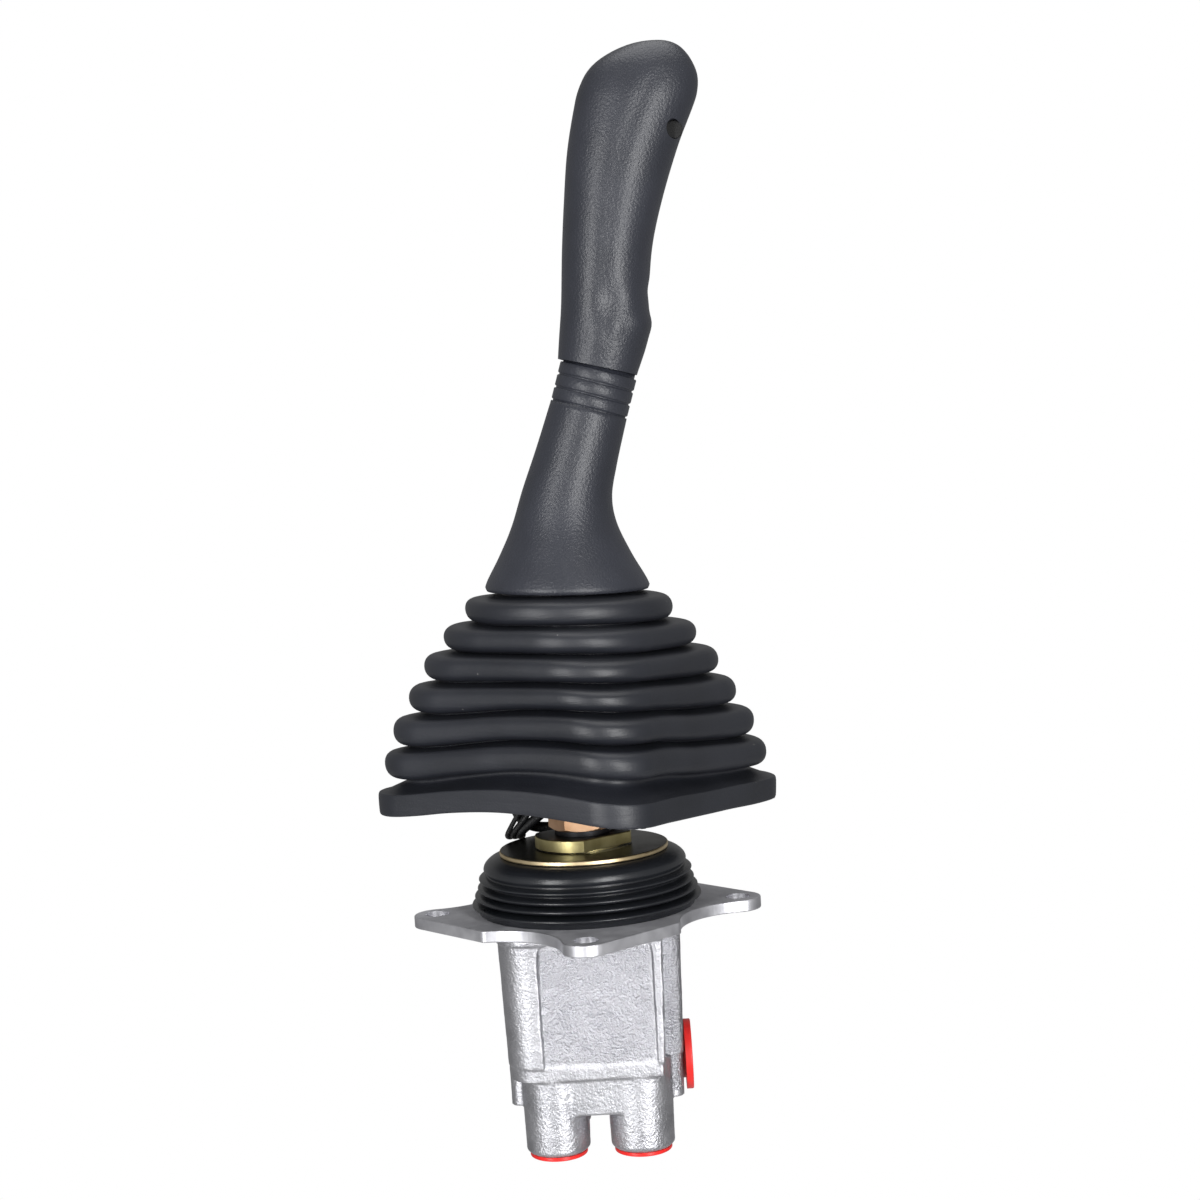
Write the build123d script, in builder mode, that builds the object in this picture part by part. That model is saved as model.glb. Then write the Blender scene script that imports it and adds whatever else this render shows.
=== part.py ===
"""Hydraulic pilot joystick valve: four spring-returned pushers in a cast body,
tilted by a lever on a universal joint, under a square console bellows.

Frame: millimetres, origin at the centre of the mounting plate's underside,
+Z up along the lever, ears of the plate on +X, -X, +Y and -Y.
"""

from build123d import *
from math import cos, pi, radians, sin, sqrt, tan
import os

os.makedirs("parts", exist_ok=True)

# ---------------------------------------------------------------- general fits
run_gap = 0.05  # radial running clearance
slip_gap = 0.1  # radial clearance of threads and slip fits
face_gap = 0.05  # between stacked faces
soft_gap = 0.3  # round soft pieces
bellows_yaw = -31.0  # of its square, about the lever

# --------------------------------------------------------------- mounting plate
plate_thick = 4.2
plate_edge = 0.5
ear_reach = 54.0  # plate centre to bolt centre
ear_round = 8.2
bolt_hole = 8.5
side_turn = 48.0  # direction that each straight side faces, below the X axis
scallop_round = 25.5
scallop_turn = 83.5  # from the ear to the scallop's centre, below the X axis
side_corner = 3.0

# ------------------------------------------------------------------ valve body
port_offset = 15.0  # X and Y distance of each pusher from the lever axis
body_depth = 57.5
body_left = 32.1
body_right = 25.6
body_corner = 12.5
column_corner = 10.5
body_draft = 1.6
upper_height = 47.1
band_height = 5.0
band_step = 0.5
hub_height = 3.0
hub_step = 0.8
spigot = 0.5  # the body's top stands this far into the mounting plate
pad_reach = 32.4
pad_width = 37.0
pad_corner = 4.0
pad_height = 62.6
pad_inset = 1.0  # of its lower part, each way
pad_root = 19.0  # length of its lower part, along X
recess_left = -18.0
recess_right = 22.0
recess_depth = 0.8
recess_draft = 2.0
boss_top = 23.6
boss_bottom = 22.5
boss_end = 79.5
boss_chamfer = 1.2
web_depth = 50.8  # front to back, and side to side
web_end = 65.3
chamber_bore = 16.0
chamber_depth = 44.0
spool_bore = 8.1
spool_bore_depth = 68.5
port_bore = 11.8  # G1/4 tapping size
port_depth = 12.0
side_port_bore = 15.2  # G3/8 tapping size
side_port_depth = 11.0
side_port_drop = 51.3
side_port_shift = -3.0
tank_port_drop = 30.0
mouth_step = 0.9  # counterbore round each port mouth
mouth_depth = 2.4
gallery = 5.0
gallery_plug = 7.0
plug_depth = 5.0
plug_inset = 0.6
stud_thread = 12.0
stud_reach = 14.0
stud_room = 2.0  # below the stud

# ------------------------------------------------------------------- port caps
cap_flange = 20.4
cap_thick = 1.4
side_cap_flange = 24.7
side_cap_thick = 2.5
cap_edge = 0.5
cap_wall = 1.2
cap_spigot = 2.0

# -------------------------------------------------------------- pusher cartridge
bush_shoulder = 18.2
bush_shoulder_thick = 1.5
bush_depth = 11.0
bush_nose = 12.8
bush_top = 6.8
ring_section = 1.45
ring_drop = 6.0
wiper_bore = 10.8
wiper_depth = 1.8
rod_size = 8.0
rod_dome = 4.0
rod_play = 0.35  # dome to swash disc at rest
rod_collar = 11.0
rod_end = -20.2
collar_thick = 1.4
seat_size = 15.2
seat_thick = 2.5
seat_boss = 6.6
seat_boss_height = 3.3
spool_head = 9.6
spool_head_top = -31.0
spool_head_thick = 2.0
spool_end = -57.0
spool_land = 8.0
spool_waist = 5.6
return_coil = 14.8
return_wire = 1.6
metering_coil = 9.2
metering_wire = 0.9

# ------------------------------------------------------------- universal joint
pivot_height = 14.0
trunnion = 5.0
trunnion_reach = 10.3
fork_inside = 7.0
fork_outside = 10.5
fork_width = 7.6
cross_hub = 8.4
base_flange = 24.0
base_flange_thick = 2.4
crown_size = 25.2
crown_bottom = 21.3
crown_top = 23.4
lever_thread = 14.0
stud_top = 39.0

# ------------------------------------------------------------------ lever stack
disc_size = 54.0
disc_bottom = 17.5
disc_top = 23.2
disc_edge = 1.2
hub_size = 34.0
boot_plate_size = 60.4
boot_plate_bottom = 24.4
boot_plate_thick = 1.7
nut_size = 34.5
nut_flats = 27.0
nut_turn = -50.0  # direction of its flats
nut_seat = 28.0
nut_seat_thick = 0.5
nut_top = 30.8
spacer_size = 20.0
spacer_top = 32.5
hex_flats = 21.0
hex_top = 46.0
hex_seat = 0.3  # its round seat is this much inside the flats
hex_bevel = 1.6
hex_bevel_rise = 1.0
tube_size = 14.0
tube_bore = 8.0
lean = 17.5  # of the grip's foot, towards +X
tube_bend = 60.0
tube_length = 68.0  # leaning run
exit_height = 66.0
exit_turn = 150.0
exit_length = 9.6
exit_width = 5.0

# -------------------------------------------------------------------- rod boot
boot_wall = 1.1
boot_fold_wall = 1.4
boot_bead = 3.3  # width of its foot
boot_foot = 38.0
boot_valley = 35.2
boot_lip = 17.4
boot_pitch = 3.0
boot_pleats = [(7.2, 41.0), (10.3, 40.0), (13.2, 39.0), (16.5, 38.3)]
boot_shoulder = 36.0
boot_shoulder_height = 20.4

# --------------------------------------------------------------- square bellows
sag = 1.6  # the bellows hangs lower on +X
bellows_wall = 1.8
fold_depth = 6.0
bellows_ribs = [  # height of the middle, side, corner radius, thickness
    (44.9, 110.1, 13.0, 7.8),
    (58.3, 107.7, 16.0, 9.6),
    (69.5, 103.8, 20.0, 9.4),
    (80.8, 96.7, 23.0, 9.2),
    (91.6, 89.9, 26.0, 8.8),
    (101.5, 80.7, 29.0, 8.4),
    (111.2, 73.4, 36.69, 8.4),
]
rib_round = 3.6
neck_round = 0.01  # its sides stay this long
bellows_neck = 46.0
neck_lap = 0.4  # the top of its neck above the cover's foot
bellows_lip = 52.6
bellows_lip_thick = 2.0

# ----------------------------------------------------------- cover and collar
cover_wall = 2.2
cover_sections = [  # middle X, height, radius, lean
    (0.0, 118.0, 29.6, 2.3),
    (0.0, 121.5, 28.3, 2.3),
    (0.0, 130.0, 23.6, 2.0),
    (0.3, 141.0, 18.6, 2.0),
    (2.0, 152.0, 15.9, 8.0),
    (5.8, 164.0, 14.6, 14.0),
    (11.4, 180.9, 13.75, lean),
]
collar_size = 27.5
collar_length = 14.0
collar_grooves = 3
collar_groove = 0.9
collar_bore = 20.0

# ------------------------------------------------------------------------ grip
grip_wall = 3.0
grip_sections = [  # left X and height, right X and height, depth
    (1.6, 199.2, 29.0, 191.8, 28.0),
    (2.4, 206.0, 33.4, 203.5, 31.0),
    (3.8, 217.2, 34.5, 214.8, 32.4),
    (5.3, 236.2, 36.8, 234.8, 33.0),
    (6.9, 252.0, 41.0, 250.8, 33.0),
    (9.3, 270.8, 48.0, 270.3, 32.0),
    (13.3, 288.8, 55.2, 287.4, 29.0),
    (18.0, 298.0, 56.0, 295.1, 24.0),
    (24.5, 303.5, 53.0, 301.9, 16.0),
    (32.0, 306.2, 46.0, 306.3, 7.0),
]
cavity_top = 289.5  # the grip is hollow up to here
grip_insert_start = 2.0
grip_insert_size = 19.2
insert_past_tube = 6.0  # past the tube's end
button_drop = 31.1  # below the grip's top
button_inset = 3.5  # from its right edge
button_size = 6.2
button_hole = 6.9
button_length = 6.0
button_recess = 1.0
button_travel = 1.5
switch_width = 5.5
switch_depth = 3.0
switch_height = 7.0
switch_shift = (-1.6, 1.0)  # of its right edge and middle from the button

# ------------------------------------------------------------------------ lead
lead_size = 4.0
lead_route = [
    (-5.5, 3.2, 66.0),
    (-15.0, 8.7, 63.5),
    (-23.0, 14.0, 55.5),
    (-25.0, 18.0, 44.5),
    (-24.5, 21.5, 34.5),
    (-19.0, 25.0, 28.8),
    (-8.0, 26.0, 28.3),
    (3.5, 25.0, 30.0),
    (13.0, 22.5, 35.0),
    (18.8, 19.7, 44.0),
    (20.0, 17.0, 55.5),
    (19.0, 14.0, 66.0),
]
connector_size = (11.0, 9.0)
connector_length = 16.0
connector_wall = 1.2
connector_round = 1.0
bend_share = 0.45  # of the shorter run beside a corner that its bend takes

# ------------------------------------------------------------- derived places
pushers = {
    1: (port_offset, port_offset),
    2: (-port_offset, port_offset),
    3: (-port_offset, -port_offset),
    4: (port_offset, -port_offset),
}
front = body_depth / 2
seat_top = rod_end - face_gap
seat_bottom = seat_top - seat_thick
hub_top = boot_plate_bottom + boot_plate_thick
nut_bottom = hub_top + face_gap
spacer_bottom = nut_top + face_gap
hex_bottom = spacer_top + face_gap
tube_bottom = stud_top + face_gap
dome_top = disc_bottom - rod_play
bellows_neck_top = cover_sections[0][1] + neck_lap
lean_start = cover_sections[-1][1] - cover_sections[-1][0] / tan(radians(lean))
ring_middle = -ring_drop
groove_top = ring_middle + ring_section / 2 + run_gap
groove_bottom = ring_middle - ring_section / 2 - run_gap
groove_floor = chamber_bore / 2 - ring_section - 2 * run_gap
boot_top = boot_plate_bottom - 2 * face_gap
lower_pin = -45.0  # directions of the joint's two pins, from the X axis
upper_pin = 45.0
pressure_face = Plane(
    (pad_reach - side_port_drop * tan(radians(body_draft / 2)), side_port_shift, -side_port_drop),
    x_dir=(0, 1, 0),
    z_dir=(1, 0, 0),
)
tank_face = Plane(
    (0, front - (tank_port_drop - cap_flange / 2) * tan(radians(body_draft)), -tank_port_drop),
    x_dir=(-1, 0, 0),
    z_dir=(0, 1, 0),
)
exit_plane = Plane(
    (0, 0, exit_height),
    x_dir=(-sin(radians(exit_turn)), cos(radians(exit_turn)), 0),
    z_dir=(cos(radians(exit_turn)), sin(radians(exit_turn)), 0),
)


def pin_plane(turn):
    """Plane through the joint's centre, square to the pin that points along turn."""
    return Plane(
        (0, 0, pivot_height),
        x_dir=(-sin(radians(turn)), cos(radians(turn)), 0),
        z_dir=(cos(radians(turn)), sin(radians(turn)), 0),
    )


def save(builder, label):
    builder.part.label = label
    export_step(builder.part, f"parts/{label}.step")


# =========================================================== outline of the body
with BuildSketch() as upper_outline:
    with Locations((body_right, 0)):
        Rectangle(body_left + body_right, body_depth, align=(Align.MAX, Align.CENTER))
    left_corners = upper_outline.vertices().group_by(Axis.X)[0]
    right_corners = upper_outline.vertices().group_by(Axis.X)[-1]
    fillet(left_corners, body_corner)
    fillet(right_corners, column_corner)
    with BuildSketch(mode=Mode.PRIVATE) as pad:
        with Locations((pad_reach, 0)):
            Rectangle(pad_reach, pad_width, align=(Align.MAX, Align.CENTER))
        fillet(pad.vertices().group_by(Axis.X)[-1], pad_corner)
    add(pad.sketch)

with BuildSketch() as hub_outline:
    add(upper_outline.sketch)
    offset(amount=hub_step)

# ================================================================ mounting plate
side_dir = Vector(cos(radians(side_turn)), -sin(radians(side_turn)))
front_ear = Vector(0, -ear_reach)
right_ear = Vector(ear_reach, 0)
scallop_dir = Vector(cos(radians(scallop_turn)), -sin(radians(scallop_turn)))
scallop = right_ear + scallop_dir * (ear_round + scallop_round)
side_start = front_ear + side_dir * ear_round
along_side = Vector(-side_dir.Y, side_dir.X)
to_scallop = scallop - side_start
before = to_scallop.dot(along_side)
beside = to_scallop.dot(side_dir)
side_end = side_start + along_side * (before - sqrt(scallop_round**2 - beside**2))
ear_start = right_ear + scallop_dir * ear_round
ear_end = right_ear + along_side * ear_round
scallop_middle = ((side_end - scallop) + (ear_start - scallop)).normalized()

with BuildPart() as mounting_plate:
    with BuildSketch():
        with BuildLine():
            for quarter in range(4):
                turn = 90 * quarter
                Line(side_start.rotate(Axis.Z, turn), side_end.rotate(Axis.Z, turn))
                ThreePointArc(
                    side_end.rotate(Axis.Z, turn),
                    (scallop + scallop_middle * scallop_round).rotate(Axis.Z, turn),
                    ear_start.rotate(Axis.Z, turn),
                )
                ThreePointArc(
                    ear_start.rotate(Axis.Z, turn),
                    Vector(ear_reach + ear_round, 0).rotate(Axis.Z, turn),
                    ear_end.rotate(Axis.Z, turn),
                )
        make_face()
    extrude(amount=plate_thick)
    corners = mounting_plate.edges().filter_by(Axis.Z)
    side_ends = [side_end.rotate(Axis.Z, 90 * quarter) for quarter in range(4)]
    fillet([corners.sort_by_distance(end)[0] for end in side_ends], side_corner)
    with PolarLocations(ear_reach, 4):
        Hole(bolt_hole / 2)
    with BuildSketch():
        add(hub_outline.sketch)
        offset(amount=slip_gap)
    extrude(amount=spigot + face_gap, mode=Mode.SUBTRACT)
    with Locations(*pushers.values()):
        Hole(bush_nose / 2 + slip_gap)
    Hole(stud_thread / 2 + slip_gap)
    rims = mounting_plate.faces().sort_by(Axis.Z)
    fillet(rims[-1].outer_wire().edges() + rims[0].outer_wire().edges(), plate_edge)
save(mounting_plate, "mounting_plate")

# ==================================================================== valve body
with BuildPart() as valve_body:
    extrude(upper_outline.sketch, amount=-upper_height, taper=body_draft)
    extrude(hub_outline.sketch, amount=-hub_height, taper=body_draft)
    extrude(hub_outline.sketch, amount=spigot)
    lower_face = valve_body.faces().sort_by(Axis.Z)[0]
    with BuildSketch(Plane.XY.offset(-upper_height)):
        add(lower_face.moved(Location((0, 0, upper_height))))
        offset(amount=-band_step)
    extrude(amount=-band_height, taper=body_draft)
    with BuildSketch(Plane.XY.offset(-upper_height)):
        for side in (-1, 1):
            with Locations((side * (pad_reach - body_draft), 0)):
                RectangleRounded(
                    pad_root,
                    pad_width - 2 * pad_inset,
                    pad_corner,
                    align=(Align.MAX if side > 0 else Align.MIN, Align.CENTER),
                )
    extrude(amount=upper_height - pad_height, taper=body_draft / 2)
    with BuildSketch(Plane.XY.offset(-upper_height)):
        Rectangle(2 * port_offset, web_depth)
        Rectangle(web_depth, 2 * port_offset)
    extrude(amount=upper_height - web_end, taper=body_draft)
    boss_drop = boss_end - upper_height
    for x, y in pushers.values():
        with BuildSketch(Plane.XY.offset(-upper_height)):
            with Locations((x, y)):
                Circle(boss_top / 2)
        with BuildSketch(Plane.XY.offset(-boss_end)):
            with Locations((x, y)):
                Circle(boss_bottom / 2)
        loft()
    chamfer(
        valve_body.faces().group_by(Axis.Z)[0].edges().filter_by(GeomType.CIRCLE),
        boss_chamfer,
    )
    # recessed front face between the two columns
    with BuildSketch(Plane.XZ.offset(front)) as recess:
        with Locations(((recess_left + recess_right) / 2, -hub_height)):
            Rectangle(
                recess_right - recess_left,
                upper_height - hub_height,
                align=(Align.CENTER, Align.MAX),
            )
        fillet(recess.vertices().group_by(Axis.Y)[-1], pad_corner)
    recess_floor = recess_depth + upper_height * tan(radians(body_draft))
    extrude(amount=-recess_floor, taper=-recess_draft, mode=Mode.SUBTRACT)
    # pusher bores, from the top
    with Locations(*[(x, y, spigot) for x, y in pushers.values()]):
        CounterBoreHole(
            chamber_bore / 2, bush_shoulder / 2 + slip_gap, bush_shoulder_thick, chamber_depth + spigot
        )
        Hole(spool_bore / 2, spool_bore_depth + spigot)
    Hole(stud_thread / 2 + slip_gap, stud_reach + stud_room)
    # work ports, from below
    with BuildSketch(Plane.XY.offset(-boss_end)):
        with Locations(*pushers.values()):
            Circle(port_bore / 2)
    extrude(amount=port_depth, mode=Mode.SUBTRACT)
    with BuildSketch(Plane.XY.offset(-boss_end)):
        with Locations(*pushers.values()):
            Circle(port_bore / 2 + mouth_step)
    extrude(amount=mouth_depth, mode=Mode.SUBTRACT)
    # pressure port on the right pad, tank port at the back
    for face, port in ((pressure_face, side_port_bore), (tank_face, port_bore)):
        for size, depth in ((port, side_port_depth), (port + 2 * mouth_step, mouth_depth)):
            with BuildSketch(face):
                Circle(size / 2)
            extrude(amount=-depth, mode=Mode.SUBTRACT)
    with BuildSketch(pressure_face):
        Circle(gallery / 2)
    extrude(amount=-pad_reach - port_offset, mode=Mode.SUBTRACT)
    with BuildSketch(tank_face):
        Circle(gallery / 2)
    extrude(amount=-front - port_offset, mode=Mode.SUBTRACT)
    # galleries that join the ports to the pusher bores
    for x in (-port_offset, port_offset):
        for size, depth in ((gallery, front + port_offset), (gallery_plug, plug_depth + face_gap)):
            with BuildSketch(Plane.XZ.offset(-front)):
                with Locations((x, -side_port_drop)):
                    Circle(size / 2)
            extrude(amount=depth, mode=Mode.SUBTRACT)
    for y in (-port_offset, port_offset):
        with BuildSketch(Plane.YZ.offset(-port_offset)):
            with Locations((y, -tank_port_drop)):
                Circle(gallery / 2)
        extrude(amount=2 * port_offset, mode=Mode.SUBTRACT)
save(valve_body, "valve_body")

with BuildPart() as gallery_plugs:
    with BuildSketch(Plane.XZ.offset(plug_depth - front)):
        with Locations(*[(x, -side_port_drop) for x in (-port_offset, port_offset)]):
            Circle(gallery_plug / 2 - run_gap)
    extrude(amount=plug_inset - plug_depth)
save(gallery_plugs, "gallery_plugs")


# ===================================================================== port caps
def port_cap(label, mouth, port, flange, thick):
    """A push-in cap: a flange over the port's mouth and a hollow spigot inside it."""
    with BuildPart() as cap:
        with BuildSketch(mouth.offset(face_gap)):
            Circle(flange / 2)
        extrude(amount=thick)
        outside = Axis(mouth.origin, mouth.z_dir)
        fillet(cap.faces().sort_by(outside)[-1].edges(), cap_edge)
        with BuildSketch(mouth.offset(face_gap)):
            Circle(port / 2 + mouth_step - slip_gap)
            Circle(port / 2 + mouth_step - slip_gap - cap_wall, mode=Mode.SUBTRACT)
        extrude(amount=-cap_spigot)
    save(cap, label)


for number, (x, y) in pushers.items():
    port_mouth = Plane((x, y, -boss_end), x_dir=(1, 0, 0), z_dir=(0, 0, -1))
    port_cap(f"port_cap_{number}", port_mouth, port_bore, cap_flange, cap_thick)
port_cap("pressure_cap", pressure_face, side_port_bore, side_cap_flange, side_cap_thick)
port_cap("tank_cap", tank_face, port_bore, cap_flange, cap_thick)

# ============================================================= pusher cartridges
for number, (x, y) in pushers.items():
    axis = Plane((x, y, 0))
    half = Plane((x, y, 0), x_dir=(1, 0, 0), z_dir=(0, -1, 0))
    centre_line = Axis((x, y, 0), (0, 0, 1))

    with BuildPart() as bush:
        with BuildSketch(half):
            Polygon(
                *[
                    (rod_size / 2 + run_gap, -bush_depth),
                    (chamber_bore / 2 - run_gap, -bush_depth),
                    (chamber_bore / 2 - run_gap, groove_bottom),
                    (groove_floor, groove_bottom),
                    (groove_floor, groove_top),
                    (chamber_bore / 2 - run_gap, groove_top),
                    (chamber_bore / 2 - run_gap, spigot + face_gap - bush_shoulder_thick),
                    (bush_shoulder / 2, spigot + face_gap - bush_shoulder_thick),
                    (bush_shoulder / 2, spigot - face_gap),
                    (bush_nose / 2, spigot - face_gap),
                    (bush_nose / 2, bush_top),
                    (wiper_bore / 2, bush_top),
                    (wiper_bore / 2, bush_top - wiper_depth),
                    (rod_size / 2 + run_gap, bush_top - wiper_depth),
                ],
                align=None,
            )
        revolve(axis=centre_line)
        chamfer(bush.edges().group_by(Axis.Z)[-1].sort_by(SortBy.LENGTH)[-1], plate_edge)
    save(bush, f"bush_{number}")

    with BuildPart() as push_rod:
        with BuildSketch(half):
            with BuildLine():
                Polyline(
                    (0, dome_top),
                    (0, rod_end),
                    (rod_collar / 2, rod_end),
                    (rod_collar / 2, rod_end + collar_thick),
                    (rod_size / 2, rod_end + collar_thick),
                    (rod_size / 2, dome_top - rod_dome),
                )
                CenterArc((0, dome_top - rod_dome), rod_dome, 0, 90)
            make_face()
        revolve(axis=centre_line)
    save(push_rod, f"push_rod_{number}")

    with BuildPart() as spring_seat:
        with BuildSketch(axis.offset(seat_bottom)):
            Circle(seat_size / 2)
        extrude(amount=seat_thick)
        chamfer(spring_seat.faces().sort_by(Axis.Z)[-1].edges(), plate_edge)
        with BuildSketch(axis.offset(seat_bottom)):
            Circle(seat_boss / 2)
        extrude(amount=-seat_boss_height)
    save(spring_seat, f"spring_seat_{number}")

    with BuildPart() as spool:
        with BuildSketch(half):
            Polygon(
                *[
                    (0, spool_head_top),
                    (spool_head / 2, spool_head_top),
                    (spool_head / 2, spool_head_top - spool_head_thick),
                    (spool_land / 2, spool_head_top - spool_head_thick),
                    (spool_land / 2, -side_port_drop + gallery),
                    (spool_waist / 2, -side_port_drop + gallery),
                    (spool_waist / 2, -side_port_drop),
                    (spool_land / 2, -side_port_drop),
                    (spool_land / 2, spool_end),
                    (0, spool_end),
                ],
                align=None,
            )
        revolve(axis=centre_line)
    save(spool, f"spool_{number}")

    for coil, wire, bottom, label in (
        (return_coil, return_wire, -chamber_depth, "return_spring"),
        (metering_coil, metering_wire, spool_head_top, "metering_spring"),
    ):
        with BuildPart() as spring:
            with BuildSketch(axis.offset(bottom + face_gap)):
                Circle(coil / 2)
                Circle(coil / 2 - wire, mode=Mode.SUBTRACT)
            extrude(amount=seat_bottom - bottom - 2 * face_gap)
        save(spring, f"{label}_{number}")

with BuildPart() as bush_seals:
    for x, y in pushers.values():
        with BuildSketch(Plane((x, y, 0), x_dir=(1, 0, 0), z_dir=(0, -1, 0))):
            with Locations(((chamber_bore - ring_section) / 2 - run_gap, ring_middle)):
                Circle(ring_section / 2)
        revolve(axis=Axis((x, y, 0), (0, 0, 1)))
save(bush_seals, "bush_seals")

with BuildPart() as wiper_seals:
    for x, y in pushers.values():
        with BuildSketch(Plane((x, y, bush_top - wiper_depth + face_gap))):
            Circle(wiper_bore / 2 - run_gap)
            Circle(rod_size / 2 + run_gap, mode=Mode.SUBTRACT)
        extrude(amount=wiper_depth)
save(wiper_seals, "wiper_seals")

# ============================================================== universal joint
with BuildPart() as joint_base:
    with BuildSketch(Plane.XY.offset(plate_thick + face_gap)):
        Circle(base_flange / 2)
    extrude(amount=base_flange_thick)
    with BuildSketch(Plane.XY.offset(-stud_reach)):
        Circle(stud_thread / 2)
    extrude(amount=stud_reach + plate_thick + face_gap)
    for side in (-1, 1):
        with BuildSketch(pin_plane(lower_pin).offset(side * fork_inside)):
            Circle(fork_width / 2)
            Rectangle(
                fork_width, pivot_height - plate_thick - face_gap, align=(Align.CENTER, Align.MAX)
            )
            Circle(trunnion / 2 + run_gap, mode=Mode.SUBTRACT)
        extrude(amount=side * (fork_outside - fork_inside))
save(joint_base, "joint_base")

with BuildPart() as joint_cross:
    for turn in (lower_pin, upper_pin):
        with BuildSketch(pin_plane(turn)):
            Circle(trunnion / 2)
        extrude(amount=trunnion_reach, both=True)
        with BuildSketch(pin_plane(turn)):
            Circle(cross_hub / 2)
        extrude(amount=fork_inside - 2 * run_gap, both=True)
save(joint_cross, "joint_cross")

with BuildPart() as lever_yoke:
    with BuildSketch(Plane.XY.offset(crown_bottom)):
        Circle(crown_size / 2)
    extrude(amount=crown_top - crown_bottom)
    with BuildSketch(Plane.XY.offset(crown_bottom)):
        Circle(lever_thread / 2)
    extrude(amount=stud_top - crown_bottom)
    chamfer(lever_yoke.faces().sort_by(Axis.Z)[-1].edges(), plate_edge)
    for side in (-1, 1):
        with BuildSketch(pin_plane(upper_pin).offset(side * fork_inside)):
            Circle(fork_width / 2)
            Rectangle(
                fork_width, crown_top - pivot_height, align=(Align.CENTER, Align.MIN)
            )
            Circle(trunnion / 2 + run_gap, mode=Mode.SUBTRACT)
        extrude(amount=side * (fork_outside - fork_inside))
save(lever_yoke, "lever_yoke")

# ================================================================== lever stack
with BuildPart() as swash_disc:
    with BuildSketch(Plane.XY.offset(disc_bottom)):
        Circle(disc_size / 2)
    extrude(amount=disc_top - disc_bottom)
    fillet(swash_disc.edges().filter_by(GeomType.CIRCLE), disc_edge)
    with BuildSketch(Plane.XY.offset(disc_top)):
        Circle(hub_size / 2)
    extrude(amount=hub_top - disc_top)
    with BuildSketch(Plane.XY.offset(disc_bottom)):
        Circle(crown_size / 2 + slip_gap)
    extrude(amount=crown_top + face_gap - disc_bottom, mode=Mode.SUBTRACT)
    Hole(lever_thread / 2 + slip_gap)
save(swash_disc, "swash_disc")

with BuildPart() as boot_plate:
    with BuildSketch(Plane.XY.offset(boot_plate_bottom)):
        Circle(boot_plate_size / 2)
        Circle(hub_size / 2 + slip_gap, mode=Mode.SUBTRACT)
    extrude(amount=boot_plate_thick)
    fillet(boot_plate.edges().group_by(SortBy.LENGTH)[-1], plate_edge)
save(boot_plate, "boot_plate")

with BuildPart() as adjusting_nut:
    with BuildSketch(Plane.XY.offset(nut_bottom)):
        Circle(nut_seat / 2)
    extrude(amount=nut_seat_thick)
    with BuildSketch(Plane.XY.offset(nut_bottom + nut_seat_thick)):
        Circle(nut_size / 2)
        Rectangle(nut_flats, nut_size, rotation=nut_turn, mode=Mode.INTERSECT)
    extrude(amount=nut_top - nut_bottom - nut_seat_thick)
    fillet(adjusting_nut.faces().sort_by(Axis.Z)[-1].edges(), plate_edge)
    Hole(lever_thread / 2 + slip_gap)
save(adjusting_nut, "adjusting_nut")

with BuildPart() as spacer_ring:
    with BuildSketch(Plane.XY.offset(spacer_bottom)):
        Circle(spacer_size / 2)
        Circle(lever_thread / 2 + slip_gap, mode=Mode.SUBTRACT)
    extrude(amount=spacer_top - spacer_bottom)
save(spacer_ring, "spacer_ring")

with BuildPart() as lock_nut:
    with BuildSketch(Plane.XY.offset(hex_bottom)):
        RegularPolygon(hex_flats / 2, 6, major_radius=False)
    extrude(amount=hex_top - hex_bottom)
    with BuildSketch(Plane.XZ):
        with BuildLine():
            Polyline(
                (0, hex_bottom),
                (hex_flats / 2 - hex_seat, hex_bottom),
                (hex_flats / 2 + hex_bevel, hex_bottom + hex_bevel_rise),
                (hex_flats / 2 + hex_bevel, hex_top - hex_bevel_rise),
                (hex_flats / 2 - hex_seat, hex_top),
                (0, hex_top),
                close=True,
            )
        make_face()
    revolve(axis=Axis.Z, mode=Mode.INTERSECT)
    with BuildSketch(Plane.XY.offset(hex_bottom)):
        Circle(lever_thread / 2 + slip_gap)
    extrude(amount=hex_top - hex_bottom, mode=Mode.SUBTRACT)
save(lock_nut, "lock_nut")

tube_foot = Vector(0, 0, tube_bottom)
tube_knee = Vector(0, 0, lean_start)
lean_dir = Vector(sin(radians(lean)), 0, cos(radians(lean)))
with BuildPart() as lever_tube:
    with BuildLine() as tube_line:
        FilletPolyline(tube_foot, tube_knee, tube_knee + lean_dir * tube_length, radius=tube_bend)
    with BuildSketch(Plane.XY.offset(tube_bottom)):
        Circle(tube_size / 2)
        Circle(tube_bore / 2, mode=Mode.SUBTRACT)
    sweep(path=tube_line.line)
    with BuildSketch(exit_plane):
        SlotOverall(exit_length, exit_width, rotation=90)
    extrude(amount=tube_size, mode=Mode.SUBTRACT)
save(lever_tube, "lever_tube")

# ===================================================================== rod boot
with BuildPart() as rod_boot:
    with BuildSketch(Plane.XZ):
        with BuildLine():
            foot = plate_thick + 2 * face_gap
            outer = [(boot_foot, foot)]
            inner = [(boot_foot - boot_bead, foot)]
            for height, reach in boot_pleats:
                outer += [(reach, height), (boot_valley, height + boot_pitch / 2)]
                inner += [
                    (reach - 2 * boot_wall, height),
                    (boot_valley - boot_fold_wall, height + boot_pitch / 2),
                ]
            outer[-1:] = [
                (boot_shoulder, boot_shoulder_height),
                (boot_plate_size / 2 - boot_wall, boot_top),
                (boot_lip, boot_top),
            ]
            inner[-1:] = [
                (boot_shoulder - boot_wall, boot_shoulder_height - boot_wall / 2),
                (boot_plate_size / 2 - 2 * boot_wall, boot_top - boot_wall),
                (boot_lip, boot_top - boot_wall),
            ]
            Polyline(*outer, *reversed(inner), close=True)
        make_face()
    revolve(axis=Axis.Z)
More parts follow.
